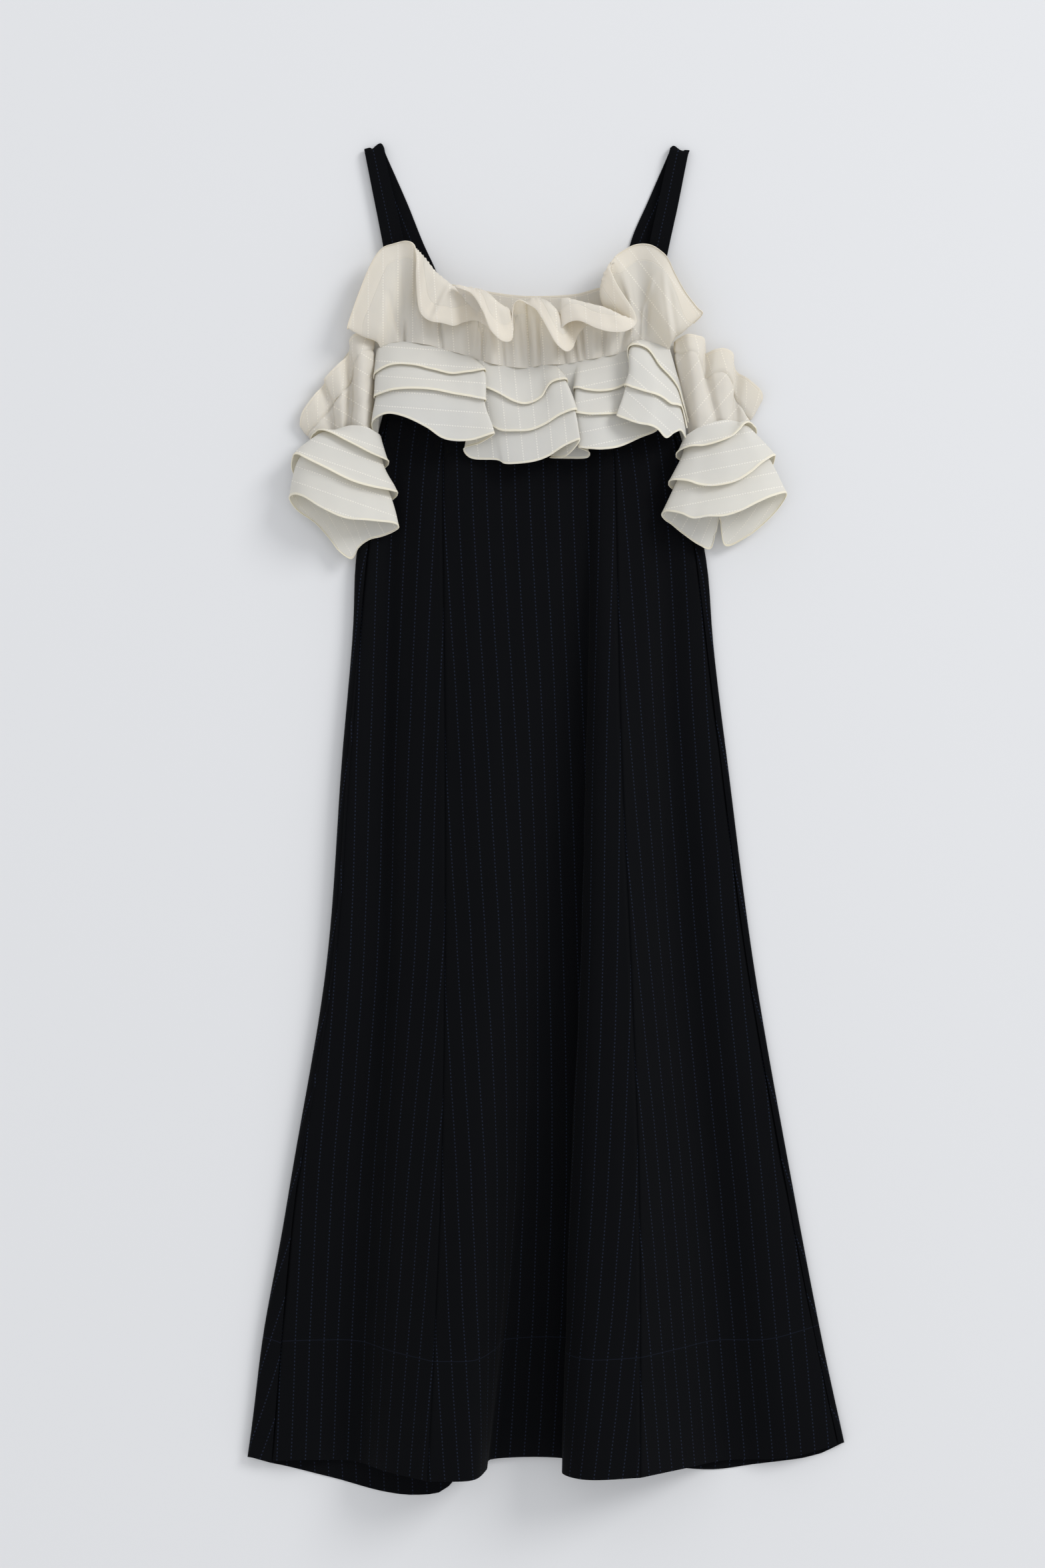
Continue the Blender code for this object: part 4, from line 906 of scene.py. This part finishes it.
@dataclass(frozen=True)
class StripedCloth:
    """What both cloths share: rows of short floats woven into a plain ground.

    Sizes are the rows' spacing and width, the floats' pitch, and the ground's own grain. The real floats are about as
    fine as the picture's pixels, so they are drawn a little longer and wider than they are woven.
    """

    name: str
    slot: str
    wall: float
    ground: str
    shade: str
    float_colour: str
    row_spacing: float
    row_width: float
    float_pitch: float
    float_share: float
    mottle_scale: float
    grain: float
    grain_depth: float
    float_depth: float
    stitch_depth: float
    roughness: float
    sheen: float
    specular: float

    def floats(self, tree: NodeTree) -> NodeSocket:
        """The mask of the woven floats, 1 on a float and 0 on the ground, from the weave map."""
        across, along = uv_axes(tree, "weave")
        row = maths(tree, "PINGPONG", across, self.row_spacing * MM / 2)
        line = ramp(tree, row, tuple(self.row_width * share * MM for share in ROW_FADE), (1.0, 0.0))
        pick = maths(tree, "PINGPONG", along, self.float_pitch * MM / 2)
        half = self.float_pitch * MM / 2 * (1 - self.float_share)
        dash = ramp(tree, pick, tuple(half * share for share in FLOAT_START))
        return maths(tree, "MULTIPLY", line, dash)

    def hem_depth(self, tree: NodeTree) -> NodeSocket:
        """How far inside the hem's fold line a place lies, from the hem map."""
        to_edge, width = uv_axes(tree, "hem")
        return maths(tree, "SUBTRACT", width, to_edge)

    def stitches(self, tree: NodeTree, hem_depth: NodeSocket) -> NodeSocket:
        """The mask of the hem's line of stitches, 1 on the line."""
        away = maths(tree, "ABSOLUTE", maths(tree, "SUBTRACT", hem_depth, STITCH_LINE * MM))
        return ramp(tree, away, tuple(reach * MM for reach in STITCH_FADE), (1.0, 0.0))

    def ground_colour(self, tree: NodeTree, colour: str) -> NodeSocket:
        """The ground, which drifts slowly between a colour and the cloth's shade."""
        return blend(tree, speckle(tree, self.mottle_scale, MOTTLE_DETAIL), linear(colour), linear(self.shade))

    def surface(self, tree: NodeTree, colour: NodeSocket, floats: NodeSocket, stitches: NodeSocket) -> Node:
        """Gives the cloth its colour, gloss and relief: grain, raised floats and sunk stitches.

        Args:
            tree: The material's node tree.
            colour: The cloth's colour.
            floats: The mask of the floats.
            stitches: The mask of the stitches.

        Returns:
            The shader.
        """
        shader = tree.nodes["Principled BSDF"]
        grain = speckle(tree, 1.0 / (self.grain * MM), GRAIN_DETAIL)
        raised = maths(tree, "MULTIPLY_ADD", floats, self.float_depth / self.grain_depth, grain)
        sewn = maths(tree, "MULTIPLY_ADD", stitches, -self.stitch_depth, raised)
        bump = add_node(tree, "ShaderNodeBump", {
            "Height": sewn, "Distance": self.grain_depth * MM, "Strength": 1.0})
        shader.inputs["Roughness"].default_value = self.roughness
        shader.inputs["Sheen Weight"].default_value = self.sheen
        shader.inputs["Specular IOR Level"].default_value = self.specular
        tree.links.new(colour, shader.inputs["Base Color"])
        tree.links.new(bump.outputs["Normal"], shader.inputs["Normal"])
        return shader

    def finish(self, tree: NodeTree) -> None:
        """Fills the material's node tree."""
        raise NotImplementedError

    def bolt(self) -> Bolt:
        """Makes the cloth's material and returns the cloth ready to be cut."""
        material = bpy.data.materials.new(self.name)
        material.use_nodes = True
        self.finish(material.node_tree)
        return Bolt(material, self.wall, self.slot)


@dataclass(frozen=True)
class Crepe(StripedCloth):
    """Polyester crepe, woven from hard-twisted yarn: near black, dull, with a pebbled grain.

    Its twisted yarn gives a matt surface with a faint bloom of light at grazing angles. Each woven row is a line of
    tiny blue-black floats.
    """

    def finish(self, tree: NodeTree) -> None:
        """Fills the crepe's node tree."""
        floats = self.floats(tree)
        stitches = self.stitches(tree, self.hem_depth(tree))
        ground = self.ground_colour(tree, self.ground)
        # The stitch line is tinted toward the float colour: painted highlight along the stitched hem, over the real
        # sunk stitches.
        marks = maths(tree, "MULTIPLY_ADD", stitches, STITCH_HIGHLIGHT, floats, clamp=True)
        self.surface(tree, blend(tree, marks, ground, linear(self.float_colour)), floats, stitches)


@dataclass(frozen=True)
class Voile(StripedCloth):
    """Cotton voile: a light plain weave, crisp and a little see-through, off-white with a warm cast.

    One layer lets what lies behind show faintly and looks cool and pale, and where the cloth is double, in hems and
    floats, it looks solid and creamy. Light that comes through it fills its hollows with a warm glow.
    """

    single: str
    warmth: str
    cover: float
    glow: float

    def finish(self, tree: NodeTree) -> None:
        """Fills the voile's node tree."""
        floats = self.floats(tree)
        hem_depth = self.hem_depth(tree)
        double = ramp(tree, hem_depth, (-FOLD_BLUR * MM, FOLD_BLUR * MM))
        layered = blend(tree, double, self.ground_colour(tree, self.single), linear(self.ground))
        colour = blend(tree, floats, layered, linear(self.float_colour))
        shader = self.surface(tree, colour, floats, self.stitches(tree, hem_depth))
        cover = ramp(tree, maths(tree, "MAXIMUM", floats, double), (0.0, 1.0), (self.cover, 1.0))
        through = add_node(tree, "ShaderNodeBsdfTranslucent", {"Color": linear(self.warmth)})
        lit = add_node(tree, "ShaderNodeMixShader", {0: self.glow, 1: shader.outputs["BSDF"], 2: through.outputs[0]})
        clear = add_node(tree, "ShaderNodeBsdfTransparent")
        veil = add_node(tree, "ShaderNodeMixShader", {0: cover, 1: clear.outputs[0], 2: lit.outputs[0]})
        tree.links.new(veil.outputs[0], tree.nodes["Material Output"].inputs["Surface"])


# Polyester crepe. It gives the eye a near-black, dull cloth with a fine pebble, and rows of blue-black dots.
CREPE = Crepe(
    name="crepe_black", slot="black_crepe", wall=CREPE_WALL, ground="#07080b", shade="#050609",
    float_colour="#1e2433", row_spacing=14.0, row_width=1.0, float_pitch=3.6, float_share=0.45, mottle_scale=9.0,
    grain=1.1, grain_depth=0.12, float_depth=0.15, stitch_depth=2.0, roughness=0.85, sheen=0.01, specular=0.07)
# Cotton voile where it lies gathered, in the band, the yoke with its frill and the sleeves. Folds crowd behind it,
# so it gives the eye a solid off-white. Its warmer, stronger glow is also painted shade: this is the shaded copy of
# the one voile, for the warm cast these pieces take in the shade under the frill's flops and in their hollows.
VOILE_GATHERED_WARM_SHADE = Voile(
    name="voile_cream_gathered_warm_shade", slot="cream_voile", wall=VOILE_WALL, ground="#f1efea", shade="#ecebe8",
    float_colour="#fffefb", row_spacing=14.5, row_width=1.1, float_pitch=2.6, float_share=0.6, mottle_scale=14.0,
    grain=0.9, grain_depth=0.05, float_depth=0.12, stitch_depth=3.0, roughness=0.75, sheen=0.15, specular=0.3,
    single="#eeeeed", warmth="#f5e5b6", cover=0.91, glow=0.34)
# The same voile where it hangs open, in the flounces and cuffs: the lit copy, cooler, whose weaker glow paints the
# light on open cloth. A sheet of the model is one layer wherever it lies, so this look also stands for the fewer
# layers: thinner, with a creamy line where a hem is rolled.
VOILE_FLOUNCED_LIT = replace(
    VOILE_GATHERED_WARM_SHADE, name="voile_cream_flounced_lit", ground="#fbf8ec", shade="#e9e9e8", float_colour="#fcfbf9",
    single="#eceded", warmth="#f4eac8", cover=0.9, glow=0.31)


@dataclass
class Wardrobe:
    """The cloths that the dress is cut from."""

    crepe: Bolt
    gathered: Bolt
    flounced: Bolt


def dress_piece(sheet: Sheet, node: str, cloth: Bolt) -> None:
    """Builds one cut piece of cloth, hangs it under the root body and hides the CAD part that it stands for.

    Args:
        sheet: The piece's grid.
        node: The CAD node that it stands for.
        cloth: What it is cut from.
    """
    piece = sheet.build(f"{node}_cloth", cloth.wall, cloth.material)
    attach(piece, "root")
    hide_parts(node)
    LOG.info("%s: %d faces", piece.name, len(piece.data.polygons))


def tier_controls(edges: Rows, top_z: float, lift: float, rises: tuple[float, ...]) -> Rows:
    """A fold's points from its seam, at top_z, over the tiers' edges down to the lowest one, at lift."""
    return tuple((x, y, top_z + (lift - top_z) * rise) for (x, y), rise in zip(edges, rises))


def down_skirt(hem_y: float, at: float) -> float:
    """The y at a fractional index into LENGTHS, on a skirt line that ends at hem_y."""
    return read_list([*LENGTHS, hem_y], at)


@dataclass
class Skirt:
    """The black gored skirt, its back panel and its two straps."""

    row_steps: int = 18
    fold_columns: int = 10
    back_columns: int = 60
    edge_turn: int = 15
    seam_gap: float = 0.05
    side_gap: float = 0.5
    seam_dip: float = 2.2
    seam_width: float = 1.5
    floor_layer: float = CREPE_WALL / 2 + FLOOR_GAP
    strap_steps: int = 8
    strap_columns: int = 16
    strap_middle: float = 9.5
    shoulder_crossing: int = 5
    shoulder_reach: float = 3.2
    shoulder_fade: float = 1.2

    def stations(self) -> list[float]:
        """Where the skirt's points lie down its length, as fractional indices into LENGTHS."""
        return [step / self.row_steps for step in range(self.row_steps * len(LENGTHS) + 1)]

    def gore(self, node: str, lines: tuple[tuple[SkirtLine, float], ...], cloth: Bolt) -> None:
        """Makes a front gore between two seams.

        Args:
            node: The CAD node's name.
            lines: The lines that run down it, as pairs of a SkirtLine and a shift to the side.
            cloth: The crepe.
        """
        count, last_mark = (len(lines) - 1) * self.fold_columns, SEAM_MARKS[-1]
        columns = []
        for at in self.stations():
            section = []
            for line, shift in lines:
                x, z = between(list(zip(line.x, line.z)), at)
                section.append(Vector((x + shift, down_skirt(line.hem_y, at), z)))
            lowest = min(point.z for point in section)
            row = follow(section, self.fold_columns)
            length = distances(row)[-1]
            marks = list(SEAM_MARKS)
            marks += [last_mark + (length - 2 * last_mark) * k / count for k in range(1, count)]
            marks += [length - mark for mark in reversed(SEAM_MARKS)]
            row = resample(row, marks)
            along = distances(row)
            for point, d in zip(row, along):
                edge = min(d, along[-1] - d)
                point.z = max(point.z, lowest) - self.seam_dip * math.exp(-(edge / self.seam_width) ** 2)
            columns.append(row)
        sheet = Sheet([list(column) for column in zip(*columns)], False, 1.0, SKIRT_HEM, Cut(), centred=True)
        sheet.crease(SKIRT_CREASES, 1.0)
        sheet.ripple(height=0.8, size=60.0, seed=3.0)
        dress_piece(sheet, node, cloth)

    def back(self, cloth: Bolt) -> None:
        """Makes the back panel, flat on the floor, with its edges turned up to the side seams."""
        turn = [math.radians(angle) for angle in range(0, 181, self.edge_turn)]
        columns = []
        for at in self.stations():
            y = down_skirt(SIDE_LEFT.hem_y, at)
            left, right = (
                read_list(side, at) + sum(push * math.exp(-((y - middle) / width) ** 2)
                                          for middle, push, width in swells)
                for side, swells in ((OUTLINE_LEFT, SWELLS_LEFT), (OUTLINE_RIGHT, SWELLS_RIGHT)))
            seam_left, seam_right = (between(list(zip(line.x, line.z)), at) for line in (SIDE_LEFT, SIDE_RIGHT))
            height = max(read_list([BACK_TOP_HEIGHT] + [self.floor_layer] * len(LENGTHS), at), self.floor_layer)
            round_left, round_right = (seam_left[1] - height) / 2, (seam_right[1] - height) / 2
            start, end = left + round_left, right - round_right
            section = [(seam_left[0] - self.side_gap, seam_left[1])]
            section += [(left + round_left * (1 - math.sin(a)), height + round_left * (1 + math.cos(a))) for a in turn]
            section += [(start + (end - start) * k / self.back_columns, height) for k in range(1, self.back_columns)]
            section += [(right - round_right * (1 - math.sin(a)), height + round_right * (1 + math.cos(a)))
                        for a in reversed(turn)]
            section.append((seam_right[0] + self.side_gap, seam_right[1]))
            columns.append([Vector((x, down_skirt(read_curve(BACK_HEM, x), at), z)) for x, z in section])
        sheet = Sheet([list(column) for column in zip(*columns)], False, -1.0, SKIRT_HEM, Cut(), centred=True)
        sheet.crease(BACK_CREASES, -1.0)
        dress_piece(sheet, "back_panel", cloth)

    def strap(self, name: str, crossings: Rows, fold: Rows, cloth: Bolt) -> None:
        """Makes a strap, a flat band folded over at the shoulder.

        Args:
            name: left or right, as seen.
            crossings: Its crossings from the front end to the back end.
            fold: How far its fold is pushed up across the strap.
            cloth: The crepe.
        """
        left, right = (follow([Vector((*crossing[side:side + 2], z)) for crossing, z in zip(crossings, STRAP_HEIGHTS)],
                              self.strap_steps) for side in (0, 2))
        shares = [k / self.strap_columns for k in range(self.strap_columns + 1)]
        rows = [[a.lerp(b, share) for a, b in zip(left, right)] for share in shares]
        for share, row in zip(shares, rows):
            rise = read_curve(fold, share)
            for j, point in enumerate(row):
                near = self.shoulder_reach - abs(j / self.strap_steps - self.shoulder_crossing)
                point.y += rise * min(max(near / self.shoulder_fade, 0.0), 1.0)
        sheet = Sheet(rows, False, 1.0, 0.0, Cut(start=self.strap_middle))
        sheet.settle(self.floor_layer)
        dress_piece(sheet, f"strap_{name}", cloth)

    def build(self, cloth: Bolt) -> None:
        """Makes every black piece."""
        self.back(cloth)
        gap = self.seam_gap
        left, centre, right = (tuple((line, 0.0) for line in lines)
                               for lines in (FOLDS_LEFT, FOLDS_CENTRE, FOLDS_RIGHT))
        self.gore("front_side_left", ((SIDE_LEFT, 0.0), *left, (PRINCESS_LEFT, -gap)), cloth)
        self.gore("front_centre", ((PRINCESS_LEFT, gap), *centre, (PRINCESS_RIGHT, -gap)), cloth)
        self.gore("front_side_right", ((PRINCESS_RIGHT, gap), *right, (SIDE_RIGHT, 0.0)), cloth)
        self.strap("left", STRAP_LEFT, FOLD_LEFT, cloth)
        self.strap("right", STRAP_RIGHT, FOLD_RIGHT, cloth)


@dataclass
class Bodice:
    """The cream band: its back, the yoke with its neck frill, and the three flounces."""

    row_steps: int = 8
    band_columns: int = 10
    frill_columns: int = 26
    tier_columns: int = 12
    band_height: float = 0.7
    band_radius: float = 420.0
    flounce_radius: float = 100.0
    flounce_start: float = 245.0
    tier_start: float = 12.0
    seam_lap: float = 0.2
    yoke_height: float = SEAM_HEIGHT + (TIERS - 1) * TIER_STEP + YOKE_GAP
    cheek_across: float = 0.2
    cheek_along: float = 0.5

    def frill(self, cloth: Bolt) -> None:
        """Makes the gathered yoke, cut in one with the neck frill that flops over it."""
        sections = []
        for seam_x, cheek_z, crest_x, crest_y, crest_z, edge_x, edge_y, edge_z in FRILL_FOLDS:
            seam_y = read_curve(YOKE_SEAM, seam_x) - self.seam_lap
            cheek_x = seam_x + self.cheek_across * (crest_x - seam_x)
            cheek_y = seam_y + self.cheek_along * (crest_y - seam_y)
            crest_z, edge_z = (z if z < FRILL_BASE else FRILL_BASE + (z - FRILL_BASE) * FRILL_RISE
                               for z in (crest_z, edge_z))
            sections.append(((seam_x, seam_y, self.yoke_height), (cheek_x, cheek_y, cheek_z),
                             (crest_x, crest_y, crest_z), (edge_x, edge_y, edge_z)))
        sheet = Sheet.through(sections, self.row_steps, self.frill_columns, 1.0, FRILL_FACING,
                              Cut(radius=self.band_radius, start=300.0))
        sheet.lay_stripes(FRILL_LAID, self.row_steps)
        sheet.crease(YOKE_CREASES, -1.0)
        sheet.crease(FLOP_CREASES, 1.0)
        sheet.ripple(height=0.7, size=26.0, seed=1.0)
        sheet.roll_hem()
        dress_piece(sheet, "front_frill", cloth)

    def flounces(self, cloth: Bolt) -> None:
        """Makes the three flounces, each a step further out than the one under it and cut shorter."""
        sections = [
            tier_controls(((seam_x, read_curve(YOKE_SEAM, seam_x)), one, two, three), SEAM_HEIGHT, lift, TIER_RISE)
            for seam_x, one, two, three, lift in FLOUNCE_FOLDS]
        for tier in range(1, TIERS + 1):
            sheet = Sheet.through(sections, self.row_steps, self.tier_columns * tier, 1.0, ROLLED_HEM,
                                  Cut(radius=self.flounce_radius, start=self.flounce_start + self.tier_start * tier),
                                  end=tier)
            sheet.hang_tier(tier, TIER_FLARE, FLOUNCE_LAID, self.row_steps, seed=6.0)
            dress_piece(sheet, f"flounce_tier_{tier}", cloth)

    def back_band(self, cloth: Bolt) -> None:
        """Makes the back of the band, flat on the floor under the rest."""
        sections = [((x, BAND_BOTTOM, self.band_height), (x, y, self.band_height)) for x, y in BAND_TOP]
        sheet = Sheet.through(sections, self.row_steps, self.band_columns, 1.0, ROLLED_HEM,
                              Cut(radius=self.band_radius, start=140.0))
        dress_piece(sheet, "back_band", cloth)

    def build(self, cloths: Wardrobe) -> None:
        """Makes every piece of the band."""
        self.back_band(cloths.gathered)
        self.frill(cloths.gathered)
        self.flounces(cloths.flounced)


@dataclass
class SleeveGroup:
    """A gathered sleeve with its neck frill and its three layered cuffs, all closed tubes that lie flat.

    up is 1 or -1, the side of the sleeve's and the cuffs' grids that is the cloth's face. The frill, whose rows run
    the other way from the neck seam, has its face on the other side.
    """

    side: str
    sleeve_sections: tuple[Rows, ...]
    cuff_folds: tuple[tuple, ...]
    sleeve_laid: Rows
    cuff_laid: Rows
    up: float
    row_steps: int = 10
    frill_columns: int = 8
    body_columns: int = 24
    cuff_columns: int = 10
    seam_depth: float = 1.5
    seam_width: float = 1.6

    def frill(self, cloth: Bolt) -> None:
        """Makes the neck frill."""
        sections = [(seam, edge) for edge, seam, _ in self.sleeve_sections]
        sheet = Sheet.through(sections, self.row_steps, self.frill_columns, -self.up, ROLLED_HEM, Cut(turn=20.0),
                              closed=True)
        sheet.pinch(self.seam_depth, self.seam_width)
        sheet.settle(VOILE_WALL / 2)
        dress_piece(sheet, f"sleeve_frill_{self.side}", cloth)

    def body(self, cloth: Bolt) -> None:
        """Makes the sleeve itself."""
        sections = [(seam, cuff) for _, seam, cuff in self.sleeve_sections]
        sheet = Sheet.through(sections, self.row_steps, self.body_columns, self.up, 0.0, Cut(turn=-55.0), closed=True)
        sheet.lay_stripes(self.sleeve_laid, self.row_steps)
        sheet.ripple(height=1.3, size=15.0, seed=11.0)
        sheet.pinch(self.seam_depth, self.seam_width)
        sheet.settle(VOILE_WALL / 2)
        dress_piece(sheet, f"sleeve_{self.side}", cloth)

    def cuffs(self, cloth: Bolt) -> None:
        """Makes the three cuffs, drawn in a little wherever another covers them."""
        controls = [tier_controls(edges, top_z, lift, CUFF_RISE) for *edges, top_z, lift in self.cuff_folds]
        middles = [sum(line[level][0] for line in controls) / len(controls) for level in range(TIERS + 1)]
        for tier in range(1, TIERS + 1):
            covers = [tier - level if 0 < level < tier else 0 for level in range(TIERS + 1)]
            tucked = [tuple((x + (middle - x) * CUFF_TUCK * cover, y, z)
                            for (x, y, z), middle, cover in zip(line, middles, covers)) for line in controls]
            sheet = Sheet.through(tucked, self.row_steps, self.cuff_columns * tier, self.up, ROLLED_HEM,
                                  Cut(radius=140.0, turn=90.0, start=60.0), closed=True, end=tier)
            sheet.hang_tier(tier, CUFF_FLARE, self.cuff_laid, self.row_steps, seed=9.0)
            sheet.settle(VOILE_WALL / 2)
            dress_piece(sheet, f"cuff_{self.side}_tier_{tier}", cloth)

    def build(self, cloths: Wardrobe) -> None:
        """Makes the frill, the sleeve and the cuffs."""
        self.frill(cloths.gathered)
        self.body(cloths.gathered)
        self.cuffs(cloths.flounced)


@dataclass
class Studio:
    """A plain pale floor, soft light from the upper right, and a camera that looks straight down.

    Its own sizes are in metres.
    """

    floor_size: float = 14.0
    floor_drop: float = 0.0004
    floor_colour: str = "#e1e2e4"
    floor_roughness: float = 0.9
    floor_specular: float = 0.1
    sky_colour: str = "#f9fafc"
    sky_strength: float = 0.83
    key_place: tuple[float, float, float] = (5.7, 4.4, 4.4)
    key_size: float = 3.2
    key_power: float = 300.0
    sensor_height: float = 36.0

    def floor(self) -> None:
        """Lays the floor."""
        bpy.ops.object.select_all(action="DESELECT")
        bpy.ops.mesh.primitive_plane_add(size=self.floor_size, location=(0, 0, -self.floor_drop))
        floor = bpy.context.active_object
        floor.name = "floor"
        bpy.ops.object.transform_apply(location=True, rotation=True, scale=True)
        # Painted plaster board. It gives the eye a plain, matt, faintly blue pale grey.
        material = bpy.data.materials.new("painted_plaster_board")
        material.use_nodes = True
        shader = material.node_tree.nodes["Principled BSDF"]
        shader.inputs["Base Color"].default_value = linear(self.floor_colour)
        shader.inputs["Roughness"].default_value = self.floor_roughness
        shader.inputs["Specular IOR Level"].default_value = self.floor_specular
        floor.data.materials.append(material)

    def lights(self) -> None:
        """Lights the scene: an even pale sky and one large soft key."""
        world = bpy.data.worlds.new("studio")
        world.use_nodes = True
        sky = world.node_tree.nodes["Background"]
        sky.inputs["Color"].default_value = linear(self.sky_colour)
        sky.inputs["Strength"].default_value = self.sky_strength
        bpy.context.scene.world = world
        light = bpy.data.lights.new("key", "AREA")
        light.shape = "DISK"
        light.size = self.key_size
        light.energy = self.key_power
        key = bpy.data.objects.new("key", light)
        key.location = self.key_place
        key.rotation_euler = (-Vector(self.key_place)).to_track_quat("-Z", "Y").to_euler()
        bpy.context.scene.collection.objects.link(key)

    def camera(self) -> None:
        """Sets the camera at the photograph's distance, straight above the middle of its frame."""
        data = bpy.data.cameras.new("camera")
        data.sensor_fit = "VERTICAL"
        data.sensor_height = self.sensor_height
        data.lens = data.sensor_height * VIEW_HEIGHT / (PHOTO_HEIGHT * MM_PER_PIXEL)
        camera = bpy.data.objects.new("camera", data)
        camera.location = ((VIEW_MIDDLE[0] - FRAME_MIDDLE[0]) * MM, (VIEW_MIDDLE[1] - FRAME_MIDDLE[1]) * MM,
                           VIEW_HEIGHT * MM)
        bpy.context.scene.collection.objects.link(camera)
        bpy.context.scene.camera = camera

    def build(self) -> None:
        """Sets up the studio."""
        self.camera()
        self.floor()
        self.lights()
        bpy.context.scene.view_settings.view_transform = "Standard"
        bpy.context.scene.view_settings.look = "None"


def main() -> None:
    """Builds the studio and the dress."""
    logging.basicConfig(level=logging.INFO, format="%(name)s: %(message)s")
    Studio().build()
    cloths = Wardrobe(CREPE.bolt(), VOILE_GATHERED_WARM_SHADE.bolt(), VOILE_FLOUNCED_LIT.bolt())
    Skirt().build(cloths.crepe)
    Bodice().build(cloths)
    SleeveGroup("left", SLEEVE_LEFT, CUFF_LEFT, SLEEVE_LEFT_LAID, CUFF_LEFT_LAID, -1.0).build(cloths)
    SleeveGroup("right", SLEEVE_RIGHT, CUFF_RIGHT, SLEEVE_RIGHT_LAID, CUFF_RIGHT_LAID, 1.0).build(cloths)


if __name__ == "__main__":
    main()
